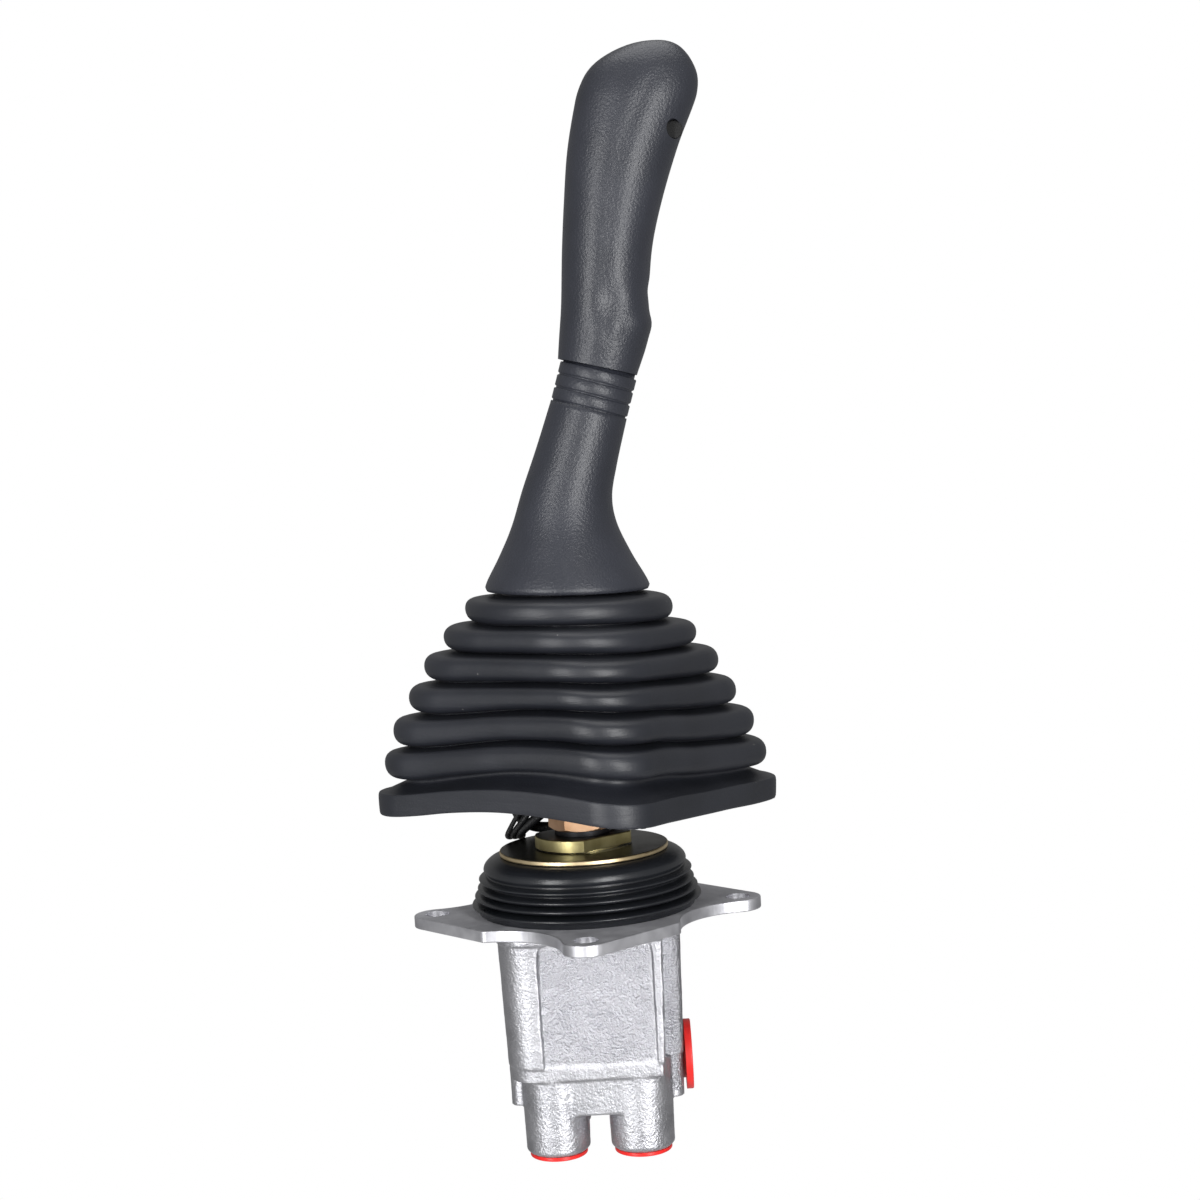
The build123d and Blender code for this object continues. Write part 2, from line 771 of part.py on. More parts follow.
save(rod_boot, "rod_boot")

# ============================================================== square bellows
def sag_plane(height):
    """Plane of a rib: it hangs lower on +X, and is turned by the bellows' yaw."""
    return Plane(
        (0, 0, height),
        x_dir=Vector(cos(radians(sag)), 0, -sin(radians(sag))),
        z_dir=Vector(sin(radians(sag)), 0, cos(radians(sag))),
    )


def rounded_square(height, side, corner, inset):
    """Section of the bellows at a height, drawn inside a rib's outline by inset."""
    with BuildSketch(sag_plane(height)) as section:
        RectangleRounded(side - 2 * inset, side - 2 * inset, corner - inset, rotation=bellows_yaw)
    return section.sketch


neck_rib = (
    bellows_neck_top,
    bellows_neck + 2 * fold_depth,
    bellows_neck / 2 + fold_depth - neck_round,
    0,
)
with BuildPart() as bellows:
    for height, side, corner, thick in bellows_ribs:
        extrude(rounded_square(height - thick / 2, side, corner, 0), amount=thick)
    fillet(bellows.edges(), rib_round)
    for lower, upper in zip(bellows_ribs, bellows_ribs[1:] + [neck_rib]):
        extrude(rounded_square(lower[0], *upper[1:3], fold_depth), amount=upper[0] - lower[0])
    for lower, upper in zip(bellows_ribs, bellows_ribs[1:] + [neck_rib]):
        hollow = rounded_square(lower[0], *upper[1:3], fold_depth + bellows_wall)
        extrude(hollow, amount=upper[0] - lower[0], mode=Mode.SUBTRACT)
    for height, side, corner, thick in bellows_ribs:
        hollow = rounded_square(height - thick / 2 + bellows_wall, side, corner, bellows_wall)
        extrude(hollow, amount=thick - 2 * bellows_wall, mode=Mode.SUBTRACT)
    rim_height, rim_side, rim_corner, rim_thick = bellows_ribs[0]
    mouth = rounded_square(rim_height - rim_thick / 2, rim_side, rim_corner, bellows_wall)
    extrude(mouth, amount=rim_thick - bellows_wall, mode=Mode.SUBTRACT)
    with BuildSketch(sag_plane(bellows_neck_top)):
        Circle(bellows_lip / 2)
    extrude(amount=bellows_lip_thick)
    with BuildSketch(Plane.XY.offset(bellows_neck_top - fold_depth)):
        Circle(tube_size / 2 + soft_gap)
    extrude(amount=2 * fold_depth, mode=Mode.SUBTRACT)
save(bellows, "bellows")


# ========================================================== cover and collar
def cover_plane(x, height, turn):
    """Plane of a section of the cover, whose normal leans towards +X by turn."""
    return Plane(
        (x, 0, height),
        x_dir=Vector(cos(radians(turn)), 0, -sin(radians(turn))),
        z_dir=Vector(sin(radians(turn)), 0, cos(radians(turn))),
    )


with BuildPart() as lever_cover:
    for x, height, reach, turn in cover_sections:
        with BuildSketch(cover_plane(x, height, turn)):
            Circle(reach)
    loft()
    for x, height, reach, turn in cover_sections:
        with BuildSketch(cover_plane(x, height, turn)):
            Circle(reach - cover_wall)
    loft(mode=Mode.SUBTRACT)
save(lever_cover, "lever_cover")

collar_foot = cover_plane(*cover_sections[-1][:2], lean).offset(face_gap)
with BuildPart() as grip_collar:
    with BuildSketch(collar_foot):
        Circle(collar_size / 2)
        Circle(collar_bore / 2, mode=Mode.SUBTRACT)
    extrude(amount=collar_length)
    groove_pitch = collar_length / collar_grooves
    for groove in range(collar_grooves):
        with BuildSketch(collar_foot.offset(groove * groove_pitch)):
            Circle(collar_size / 2)
            Circle(collar_size / 2 - collar_groove, mode=Mode.SUBTRACT)
        extrude(amount=collar_groove, mode=Mode.SUBTRACT)
save(grip_collar, "grip_collar")


# ======================================================================== grip
def grip_plane(left_x, left_z, right_x, right_z):
    """Plane of a section of the grip, with its X axis from the left to the right edge."""
    across = Vector(right_x - left_x, 0, right_z - left_z)
    middle = ((left_x + right_x) / 2, 0, (left_z + right_z) / 2)
    return Plane(middle, x_dir=across, z_dir=Vector(-across.Z, 0, across.X)), across.length


# the button lies in the grip's surface, at its height between two sections
button_height = grip_sections[-1][3] - button_drop
below = [section for section in grip_sections if section[3] <= button_height][-1]
above = [section for section in grip_sections if section[3] > button_height][0]
share = (button_height - below[3]) / (above[3] - below[3])
left_x, left_z, right_x, right_z, button_depth = [a + (b - a) * share for a, b in zip(below, above)]
button_x = right_x - button_inset
button_lean = (button_x - (left_x + right_x) / 2) / ((right_x - left_x) / 2)
button_front = -button_depth / 2 * sqrt(1 - button_lean**2)

with BuildPart() as grip:
    for *ends, depth in grip_sections:
        section, width = grip_plane(*ends)
        with BuildSketch(section):
            Ellipse(width / 2, depth / 2)
    loft()
    for *ends, depth in grip_sections:
        if ends[1] < cavity_top:
            section, width = grip_plane(*ends)
            with BuildSketch(section):
                Ellipse(width / 2 - grip_wall, depth / 2 - grip_wall)
    loft(mode=Mode.SUBTRACT)
    with BuildSketch(Plane.XZ):
        with Locations((button_x, button_height)):
            Circle(button_hole / 2)
    extrude(amount=max(depth for *ends, depth in grip_sections), mode=Mode.SUBTRACT)
save(grip, "grip")

insert_foot = collar_foot.offset(grip_insert_start)
tube_end = tube_knee + lean_dir * tube_length
grip_insert_length = (tube_end - insert_foot.origin).dot(lean_dir) + insert_past_tube
with BuildPart() as grip_insert:
    with BuildSketch(insert_foot):
        Circle(grip_insert_size / 2)
        Circle(tube_size / 2 + slip_gap, mode=Mode.SUBTRACT)
    extrude(amount=grip_insert_length)
save(grip_insert, "grip_insert")

button_face = button_front + button_recess
with BuildPart() as horn_button:
    with BuildSketch(Plane.XZ.offset(-button_face)):
        with Locations((button_x, button_height)):
            Circle(button_size / 2)
    extrude(amount=-button_length)
    fillet(horn_button.edges().group_by(Axis.Y)[0], button_recess / 2)
save(horn_button, "horn_button")

with BuildPart() as horn_switch:
    with BuildSketch(Plane.XZ.offset(-button_face - button_length - button_travel - soft_gap)):
        with Locations((button_x + switch_shift[0], button_height + switch_shift[1])):
            Rectangle(switch_width, switch_height, align=(Align.MAX, Align.CENTER))
    extrude(amount=-switch_depth)
save(horn_switch, "horn_switch")

# ======================================================================== lead
lead_points = [Vector(*point) for point in lead_route]
lead_radii = []
for before, corner, after in zip(lead_points, lead_points[1:], lead_points[2:]):
    shorter = min((corner - before).length, (after - corner).length)
    half_turn = radians((corner - before).get_angle(after - corner)) / 2
    lead_radii.append(bend_share * shorter / tan(half_turn))
print("lead radii", [round(radius, 1) for radius in lead_radii])

with BuildPart() as lead:
    with BuildLine() as lead_line:
        FilletPolyline(*lead_points, radius=lead_radii)
    with BuildSketch(Plane(lead_points[0], z_dir=lead_points[1] - lead_points[0])):
        Circle(lead_size / 2)
    sweep(path=lead_line.line)
lead_length = sum(edge.length for edge in lead_line.edges())
lead_section = pi * lead_size**2 / 4
print("lead length", round(lead_length, 1), "by volume", round(lead.part.volume / lead_section, 1))
save(lead, "lead")

lead_end = Plane(lead_points[-1], z_dir=lead_points[-1] - lead_points[-2])
with BuildPart() as lead_connector:
    with BuildSketch(lead_end):
        Rectangle(*connector_size)
    extrude(amount=connector_length)
    fillet(lead_connector.edges().filter_by(Axis(lead_end.origin, lead_end.z_dir)), connector_round)
    with BuildSketch(lead_end.offset(connector_length)):
        Rectangle(*[side - 2 * connector_wall for side in connector_size])
    extrude(amount=-connector_length / 2, mode=Mode.SUBTRACT)
save(lead_connector, "lead_connector")
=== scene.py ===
from math import atan2, cos, degrees, exp, hypot, pi, radians, sin

import bmesh
import bpy
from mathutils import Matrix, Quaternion, Vector, noise


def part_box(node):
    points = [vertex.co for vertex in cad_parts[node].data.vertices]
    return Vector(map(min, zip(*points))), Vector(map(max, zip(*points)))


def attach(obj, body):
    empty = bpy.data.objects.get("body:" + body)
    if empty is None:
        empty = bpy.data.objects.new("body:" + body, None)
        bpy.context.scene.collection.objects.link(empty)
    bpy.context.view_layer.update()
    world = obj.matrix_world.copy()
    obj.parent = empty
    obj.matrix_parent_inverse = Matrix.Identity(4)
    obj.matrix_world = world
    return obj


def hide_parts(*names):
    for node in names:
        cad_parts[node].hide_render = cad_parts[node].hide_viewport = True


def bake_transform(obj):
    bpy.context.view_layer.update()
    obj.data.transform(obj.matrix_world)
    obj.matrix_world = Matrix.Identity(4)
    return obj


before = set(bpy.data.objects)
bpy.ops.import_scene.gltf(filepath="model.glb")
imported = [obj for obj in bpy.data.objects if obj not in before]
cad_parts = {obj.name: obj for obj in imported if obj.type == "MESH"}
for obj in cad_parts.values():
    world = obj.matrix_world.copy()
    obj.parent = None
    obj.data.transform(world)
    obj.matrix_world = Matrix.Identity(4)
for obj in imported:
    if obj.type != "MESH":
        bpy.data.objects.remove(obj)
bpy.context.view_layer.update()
mm = 0.001
white, black = (1, 1, 1, 1), (0, 0, 0, 1)


def srgb(code, alpha=1.0):
    parts = [int(code[i:i + 2], 16) / 255 for i in (1, 3, 5)]
    linear = [c / 12.92 if c <= 0.04045 else ((c + 0.055) / 1.055) ** 2.4 for c in parts]
    return (*linear, alpha)


# A node with its settings and links, and a ramp's stops of place and colour
def addNode(tree, kind, settings=None, links=None, stops=()):
    node = tree.nodes.new(kind)
    for key, value in (settings or {}).items():
        if isinstance(key, int) or key in node.inputs:
            node.inputs[key].default_value = value
        else:
            setattr(node, key, value)
    for socket, source in (links or {}).items():
        tree.links.new(source, node.inputs[socket])
    if stops:
        elements = node.color_ramp.elements
        while len(elements) < len(stops):
            elements.new(0.5)
        for element, (place, colour) in zip(elements, stops):
            element.position = place
            element.color = colour
    return node


def startMaterial(name, **sockets):
    material = bpy.data.materials.new(name)
    material.use_nodes = True
    tree = material.node_tree
    shader = tree.nodes["Principled BSDF"]
    for socket, value in sockets.items():
        shader.inputs[socket.replace("_", " ")].default_value = value
    place = addNode(tree, "ShaderNodeTexCoord").outputs["Object"]
    return material, tree, shader, place


def joinShader(tree, shader, links):
    for socket, source in links.items():
        tree.links.new(source, shader.inputs[socket])


def perMetre(sizeMm):
    return 1 / (sizeMm * mm)


def roughRange(look):
    least, most = look["roughSpread"]
    return {"To Min": look["rough"] + least, "To Max": look["rough"] + most}


print("materials")


# Injection-moulded PVC with a spark-eroded leather grain: dark and satin, with a soft broad highlight
mouldedGripVinyl = {
    "colour": "#24262D", "worn": "#2C2E36", "patchMm": 22, "ior": 1.53,
    "grainMm": 0.85, "grainDepthMm": 0.14,  # leather grain of a hand grip
    "rough": 0.39, "roughSpread": (-0.05, 0.09),
}


def makeMouldedVinyl(name, look):
    material, tree, shader, place = startMaterial(name, IOR=look["ior"])
    cloud = addNode(tree, "ShaderNodeTexNoise", {"Scale": perMetre(look["patchMm"]), "Detail": 4.0},
                    {"Vector": place})
    tint = addNode(tree, "ShaderNodeValToRGB", links={"Fac": cloud.outputs["Fac"]},
                   stops=[(0.3, srgb(look["colour"])), (0.75, srgb(look["worn"]))])
    grain = addNode(
        tree, "ShaderNodeTexVoronoi",
        {"Scale": perMetre(look["grainMm"]), "Randomness": 1.0, "feature": "SMOOTH_F1"}, {"Vector": place},
    )
    fine = addNode(tree, "ShaderNodeTexNoise", {"Scale": perMetre(look["grainMm"] * 0.6), "Detail": 3.0},
                   {"Vector": place})
    relief = addNode(tree, "ShaderNodeMath", {"operation": "ADD"},
                     {0: grain.outputs["Distance"], 1: fine.outputs["Fac"]})
    bump = addNode(tree, "ShaderNodeBump", {"Strength": 0.8, "Distance": look["grainDepthMm"] * mm},
                   {"Height": relief.outputs["Value"]})
    patch = addNode(tree, "ShaderNodeMapRange", roughRange(look), {"Value": cloud.outputs["Fac"]})
    joinShader(tree, shader, {"Base Color": tint.outputs["Color"], "Normal": bump.outputs["Normal"],
                              "Roughness": patch.outputs["Result"]})
    return material


# Compression-moulded nitrile rubber, slightly waxed: nearly black, with a duller bloom and specks of dust
mouldedNitrileRubber = {
    "colour": "#181A20", "dusty": "#22242B", "speck": "#8E8C88", "patchMm": 30, "speckMm": 9, "ior": 1.52,
    "grainMm": 0.6,  # the mould's real texture is about 0.2 mm, drawn coarser so that it shows
    "flowLineMm": 1.6, "flowStretch": (0.08, 0.08, 1.0), "flowShare": 2.2,  # lines of flow round each fold
    "reliefMm": 0.1, "rough": 0.42, "roughSpread": (-0.08, 0.14),
}


def makeMouldedRubber(name, look):
    material, tree, shader, place = startMaterial(name, IOR=look["ior"])
    cloud = addNode(tree, "ShaderNodeTexNoise", {"Scale": perMetre(look["patchMm"]), "Detail": 5.0},
                    {"Vector": place})
    tint = addNode(tree, "ShaderNodeValToRGB", links={"Fac": cloud.outputs["Fac"]},
                   stops=[(0.35, srgb(look["colour"])), (0.8, srgb(look["dusty"]))])
    speckle = addNode(tree, "ShaderNodeTexVoronoi", {"Scale": perMetre(look["speckMm"])}, {"Vector": place})
    dots = addNode(tree, "ShaderNodeValToRGB", links={"Fac": speckle.outputs["Distance"]},
                   stops=[(0.0, white), (0.035, black)])
    mixed = addNode(tree, "ShaderNodeMix", {"data_type": "RGBA", "B": srgb(look["speck"])},
                    {"Factor": dots.outputs["Color"], "A": tint.outputs["Color"]})
    grain = addNode(tree, "ShaderNodeTexNoise", {"Scale": perMetre(look["grainMm"]), "Detail": 4.0},
                    {"Vector": place})
    along = addNode(tree, "ShaderNodeMapping", {"Scale": look["flowStretch"]}, {"Vector": place})
    flow = addNode(tree, "ShaderNodeTexNoise", {"Scale": perMetre(look["flowLineMm"]), "Detail": 2.0},
                   {"Vector": along.outputs["Vector"]})
    relief = addNode(tree, "ShaderNodeMath", {"operation": "MULTIPLY_ADD", 1: look["flowShare"]},
                     {0: flow.outputs["Fac"], 2: grain.outputs["Fac"]})
    bump = addNode(tree, "ShaderNodeBump", {"Strength": 0.7, "Distance": look["reliefMm"] * mm},
                   {"Height": relief.outputs["Value"]})
    patch = addNode(tree, "ShaderNodeMapRange", roughRange(look), {"Value": cloud.outputs["Fac"]})
    joinShader(tree, shader, {"Base Color": mixed.outputs["Result"], "Normal": bump.outputs["Normal"],
                              "Roughness": patch.outputs["Result"]})
    return material


# Gravity-cast aluminium, shot-blasted: pale grey, sparkling at the tips of a pebbled skin, with painted shade
# darkening its pits
blastedCastAluminium = {
    "bright": "#BDBDC1", "dull": "#A4A4A9", "pitShade": "#8A8A90", "streakMm": 11,
    "pebbleMm": 0.9, "reliefMm": 0.16,  # dents of the shot
    "rough": 0.42, "roughSpread": (-0.1, 0.1),
}


def makeCastAluminium(name, look):
    material, tree, shader, place = startMaterial(name, Metallic=1.0)
    cloud = addNode(tree, "ShaderNodeTexNoise", {"Scale": perMetre(look["streakMm"]), "Detail": 6.0},
                    {"Vector": place})
    pebble = addNode(tree, "ShaderNodeTexVoronoi",
                     {"Scale": perMetre(look["pebbleMm"]), "feature": "SMOOTH_F1"}, {"Vector": place})
    grit = addNode(tree, "ShaderNodeTexNoise", {"Scale": perMetre(look["pebbleMm"] * 0.5), "Detail": 5.0},
                   {"Vector": place})
    tint = addNode(tree, "ShaderNodeValToRGB", links={"Fac": cloud.outputs["Fac"]},
                   stops=[(0.2, srgb(look["dull"])), (0.55, srgb(look["bright"])),
                          (0.95, srgb(look["dull"]))])
    # painted shade: the low spots of the grit, the hollows of the bump, take the darker pit colour
    pitShadeMask = addNode(tree, "ShaderNodeValToRGB", links={"Fac": grit.outputs["Fac"]},
                   stops=[(0.28, white), (0.4, black)])
    mixed = addNode(tree, "ShaderNodeMix", {"data_type": "RGBA", "B": srgb(look["pitShade"])},
                    {"Factor": pitShadeMask.outputs["Color"], "A": tint.outputs["Color"]})
    relief = addNode(tree, "ShaderNodeMath", {"operation": "SUBTRACT"},
                     {0: grit.outputs["Fac"], 1: pebble.outputs["Distance"]})
    bump = addNode(tree, "ShaderNodeBump", {"Strength": 0.9, "Distance": look["reliefMm"] * mm},
                   {"Height": relief.outputs["Value"]})
    patch = addNode(tree, "ShaderNodeMapRange", roughRange(look), {"Value": cloud.outputs["Fac"]})
    joinShader(tree, shader, {"Base Color": mixed.outputs["Result"], "Normal": bump.outputs["Normal"],
                              "Roughness": patch.outputs["Result"]})
    return material


# Metal that a cutter, a roller or a grinding wheel has lined; the real lines are under 0.2 mm apart and
# are drawn coarser so that they show
linedMetal = {
    "lineMm": 0.5, "stretch": (1, 1, 1), "depthMm": 0.02, "patchMm": 8,
    "rough": 0.4, "roughSpread": (-0.08, 0.1),
}


def makeLinedMetal(name, changes):
    look = {**linedMetal, **changes}
    material, tree, shader, place = startMaterial(name, Metallic=1.0)
    scaled = addNode(tree, "ShaderNodeMapping", {"Scale": look["stretch"]}, {"Vector": place})
    lined = addNode(tree, "ShaderNodeTexNoise", {"Scale": perMetre(look["lineMm"]), "Detail": 4.0},
                    {"Vector": scaled.outputs["Vector"]})
    cloud = addNode(tree, "ShaderNodeTexNoise", {"Scale": perMetre(look["patchMm"]), "Detail": 5.0},
                    {"Vector": place})
    tint = addNode(tree, "ShaderNodeValToRGB", links={"Fac": cloud.outputs["Fac"]},
                   stops=[(0.3, srgb(look["shade"])), (0.65, srgb(look["colour"]))])
    bump = addNode(tree, "ShaderNodeBump", {"Strength": 0.35, "Distance": look["depthMm"] * mm},
                   {"Height": lined.outputs["Fac"]})
    patch = addNode(tree, "ShaderNodeMapRange", roughRange(look), {"Value": cloud.outputs["Fac"]})
    joinShader(tree, shader, {"Base Color": tint.outputs["Color"], "Normal": bump.outputs["Normal"],
                              "Roughness": patch.outputs["Result"]})
    return material


# Injection-moulded polyethylene: saturated red and slightly waxy
mouldedPolyethylene = {
    "colour": "#E0241F", "shade": "#C81A17", "patchMm": 5, "reliefMm": 0.05, "rough": 0.38, "ior": 1.51,
}


def makePolyethylene(name, look):
    material, tree, shader, place = startMaterial(name, IOR=look["ior"], Roughness=look["rough"])
    cloud = addNode(tree, "ShaderNodeTexNoise", {"Scale": perMetre(look["patchMm"]), "Detail": 3.0},
                    {"Vector": place})
    tint = addNode(tree, "ShaderNodeValToRGB", links={"Fac": cloud.outputs["Fac"]},
                   stops=[(0.3, srgb(look["shade"])), (0.7, srgb(look["colour"]))])
    bump = addNode(tree, "ShaderNodeBump", {"Strength": 0.15, "Distance": look["reliefMm"] * mm},
                   {"Height": cloud.outputs["Fac"]})
    joinShader(tree, shader, {"Base Color": tint.outputs["Color"], "Normal": bump.outputs["Normal"]})
    return material


gripVinyl = makeMouldedVinyl("moulded_grip_vinyl", mouldedGripVinyl)
bellowsRubber = makeMouldedRubber("moulded_bellows_rubber", mouldedNitrileRubber)
# The boot's rubber is blacker and glossier than the bellows, and cleaner
bootRubber = makeMouldedRubber("moulded_boot_rubber", {
    **mouldedNitrileRubber, "colour": "#15171B", "dusty": "#202226", "rough": 0.28, "speckMm": 14,
})
# Turned seal rubber: black and oily
sealRubber = makeMouldedRubber("seal_rubber", {**mouldedNitrileRubber, "colour": "#0E0E10"})
# Extruded PVC sleeve: black, smooth and duller than the grip
sleeveVinyl = makeMouldedVinyl("extruded_sleeve_vinyl", {
    **mouldedGripVinyl, "colour": "#0D0E10", "worn": "#16171A", "grainMm": 0.4, "rough": 0.5,
})
# Moulded nylon: deep black and matt
blackNylon = makeMouldedVinyl("moulded_black_nylon", {
    **mouldedGripVinyl, "colour": "#040405", "worn": "#070708", "grainMm": 0.3, "rough": 0.8,
})
castAluminium = makeCastAluminium("blasted_cast_aluminium", blastedCastAluminium)
# Recessed panels keep the mould's own coarse pebble, more broken in its shine, and a little darker: that
# darker tone is painted shade
pebbledShadedAluminium = makeCastAluminium("pebbled_cast_aluminium_painted_shade", {
    **blastedCastAluminium, "bright": "#B0B0B5", "dull": "#9C9CA1", "pebbleMm": 0.75, "rough": 0.38,
    "reliefMm": 0.4,
})
# Milled aluminium: pale, with cutter lines along the edge that break up the shine
milledAluminium = makeLinedMetal("milled_aluminium_plate", {
    "colour": "#D6D6DA", "shade": "#BFBFC4", "rough": 0.46, "lineMm": 0.9, "stretch": (1, 1, 0.04),
    "depthMm": 0.12,
})
# Yellow-passivated zinc on a forged nut: pale copper to straw, satin
yellowZincNut = makeLinedMetal("yellow_zinc_nut", {
    "colour": "#E6BE9B", "shade": "#CDA07A", "rough": 0.42, "lineMm": 0.6,
})
# The same plating on a turned rim: greener, with turning lines round it
yellowZincPlate = makeLinedMetal("yellow_zinc_plate", {
    "colour": "#C6BB88", "shade": "#A89C6A", "stretch": (1, 1, 0.05), "depthMm": 0.06,
})
# The same plating on a pressed washer: brighter and even
yellowZincWasher = makeLinedMetal("yellow_zinc_washer", {"colour": "#E2CFA8", "shade": "#CDB88E"})
# Cast face left rough: pale and dull
castPlateFace = makeLinedMetal("as_cast_plate_face", {
    "colour": "#CFCFD3", "shade": "#BBBBC0", "rough": 0.7, "lineMm": 0.7, "depthMm": 0.15,
})
# Dark tops of the plated parts: brown-black and shiny, painted reflection and shade of the black boot above
paintedBootReflection = makeLinedMetal("painted_boot_reflection_face", {
    "colour": "#4A463C", "shade": "#3A372F", "rough": 0.3, "depthMm": 0.05,
})
# Phosphated steel: charcoal, matt
phosphatedSteel = makeLinedMetal("phosphated_steel", {
    "colour": "#3B3B3D", "shade": "#2C2C2E", "rough": 0.5, "lineMm": 0.4,
})
# Ground steel: bright, with fine rings round the part
groundSteel = makeLinedMetal("ground_steel", {
    "colour": "#B8B8BC", "shade": "#A2A2A6", "rough": 0.3, "lineMm": 0.3, "stretch": (1, 1, 5),
})
# Oiled spring wire: mid grey, wet
oiledSpringSteel = makeLinedMetal("oiled_spring_steel", {
    "colour": "#77787C", "shade": "#5E5F63", "rough": 0.35, "lineMm": 0.3,
})
# Turned brass: warm yellow, with fine rings
turnedBrass = makeLinedMetal("turned_brass", {
    "colour": "#D6B36A", "shade": "#BC9850", "rough": 0.3, "lineMm": 0.3, "stretch": (1, 1, 5),
})
redPolyethylene = makePolyethylene("moulded_red_polyethylene", mouldedPolyethylene)

cadFinish = {
    "valve_body": castAluminium, "mounting_plate": milledAluminium, "gallery_plugs": groundSteel,
    "bush_seals": sealRubber, "wiper_seals": sealRubber,
    "joint_base": groundSteel, "joint_cross": groundSteel,
    "lever_yoke": groundSteel, "swash_disc": groundSteel, "boot_plate": yellowZincWasher,
    "adjusting_nut": yellowZincPlate, "spacer_ring": phosphatedSteel, "lock_nut": yellowZincNut,
    "lever_tube": groundSteel, "grip_insert": blackNylon, "horn_switch": blackNylon,
    "lead_connector": blackNylon, "horn_button": blackNylon,
}
for number in range(1, 5):
    cadFinish[f"bush_{number}"] = turnedBrass
    for name in ("push_rod", "spring_seat", "spool"):
        cadFinish[f"{name}_{number}"] = groundSteel
for name in [f"port_cap_{number}" for number in range(1, 5)] + ["pressure_cap", "tank_cap"]:
    cadFinish[name] = redPolyethylene
for name, material in cadFinish.items():
    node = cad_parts[name]
    node.data.materials.clear()
    node.data.materials.append(material)
# The boot plate's and adjusting nut's upward faces get painted reflection and shade of the black boot above;
# the mounting plate's top gets a pale rough face
topFinish = {"boot_plate": paintedBootReflection, "adjusting_nut": paintedBootReflection, "mounting_plate": castPlateFace}
for name, material in topFinish.items():
    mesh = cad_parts[name].data
    mesh.materials.append(material)
    for face in mesh.polygons:
        if face.normal.z > 0.95:  # faces that look straight up
            face.material_index = 1


def linkObject(name, data):
    obj = bpy.data.objects.new(name, data)
    bpy.context.scene.collection.objects.link(obj)
    return obj


# Mesh of an object with its modifiers applied
def appliedMesh(obj):
    return bpy.data.meshes.new_from_object(obj.evaluated_get(bpy.context.evaluated_depsgraph_get()))


# Skin over rings of points; its two ends are filled, joined to each other or left open
def ringObject(name, rings, material, ends="filled"):
    count = len(rings[0])
    points = [point for ring in rings for point in ring]
    faces = []
    for row in range(len(rings) if ends == "joined" else len(rings) - 1):
        low, high = row * count, (row + 1) % len(rings) * count
        for i in range(count):
            j = (i + 1) % count
            faces.append((low + i, low + j, high + j, high + i))
    if ends == "filled":
        faces.append(tuple(reversed(range(count))))
        faces.append(tuple(range((len(rings) - 1) * count, len(rings) * count)))
    mesh = bpy.data.meshes.new(name)
    mesh.from_pydata(points, [], faces)
    mesh.materials.append(material)
    mesh.shade_smooth()
    return linkObject(name, mesh)


# Smooth curve through a table of values, by the height in its first column
def tableAt(table, height):
    rows = sorted(table)
    height = min(max(height, rows[0][0]), rows[-1][0])
    k = max(i for i in range(len(rows) - 1) if rows[i][0] <= height)
    before, start, end, after = rows[max(k - 1, 0)], rows[k], rows[k + 1], rows[min(k + 2, len(rows) - 1)]
    span = end[0] - start[0]
    t = (height - start[0]) / span
    values = []
    for i in range(1, len(start)):
        slopeStart = (end[i] - before[i]) / (end[0] - before[0]) * span
        slopeEnd = (after[i] - start[i]) / (after[0] - start[0]) * span
        values.append(
            (2 * t ** 3 - 3 * t ** 2 + 1) * start[i] + (t ** 3 - 2 * t ** 2 + t) * slopeStart
            + (3 * t ** 2 - 2 * t ** 3) * end[i] + (t ** 3 - t ** 2) * slopeEnd
        )
    return values


def smoothStep(low, high, value):
    t = min(max((value - low) / (high - low), 0), 1)
    return t * t * (3 - 2 * t)


print("turned and pressed parts")

for name in ("mounting_plate", "boot_plate", "adjusting_nut", "spacer_ring", "lock_nut", "swash_disc",
             "lever_tube", "port_cap_1", "port_cap_2", "port_cap_3", "port_cap_4", "pressure_cap",
             "tank_cap"):
    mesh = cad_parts[name].data
    mesh.shade_smooth()
    mesh.set_sharp_from_angle(angle=radians(28))  # steeper edges stay crisp

print("casting")

casting = {
    "voxelMm": 0.5, "weldMm": 0.002,
    "skinMm": 0.05, "gritMm": 1.7, "wavesMm": 0.1, "waveMm": 9,  # height and width of the grit and the waves
    "recess": (-17.5, 21.0, -46.0, -5.0), "recessMm": 0.16, "recessFade": (1, 2),  # left, right, low, high
    "frontFace": (-24, -26), "sidePanel": (22, 20, -60),  # the panel is past x, within y and above z
    "cavityMm": 23, "cavityFloorMm": -68,
    "bossSpacingMm": 15.0, "boreMm": 8.2, "boreTopMm": -60, "bossEndMm": -79.3, "padMm": 32.2,
    "smoothFromMm": -0.4, "milledFromMm": -0.3,  # just under the flange
}


# Whether a cutter has been over a spot: the top, the bosses' ends and bores, and the pressure port's pad
def isMachined(x, y, z, topMm):
    spacing = casting["bossSpacingMm"]
    inBore = hypot(abs(x) - spacing, abs(y) - spacing) < casting["boreMm"] and z < casting["boreTopMm"]
    return z > topMm or z < casting["bossEndMm"] or abs(x) > casting["padMm"] or inBore


# How far the cast skin stands out, in mm; the cavity and the machined faces stay smooth
def castRelief(x, y, z, normal):
    inCavity = hypot(x, y) < casting["cavityMm"] and z > casting["cavityFloorMm"] and abs(normal.z) < 0.9
    if inCavity or isMachined(x, y, z, casting["smoothFromMm"]):
        return 0.0
    left, right, low, high = casting["recess"]
    aside, above = casting["recessFade"]
    inRecess = smoothStep(*casting["frontFace"], y)
    inRecess *= smoothStep(left - aside, left + aside, x) * smoothStep(right + aside, right - aside, x)
    inRecess *= smoothStep(low - above, low + above, z) * smoothStep(high + above, high - above, z)
    waves = noise.noise(Vector((x, y, z)) / casting["waveMm"]) * casting["wavesMm"]
    grit = noise.fractal(Vector((x, y, z)) / casting["gritMm"], 0.9, 2.1, 3)
    return waves + grit * (casting["skinMm"] + inRecess * casting["recessMm"])


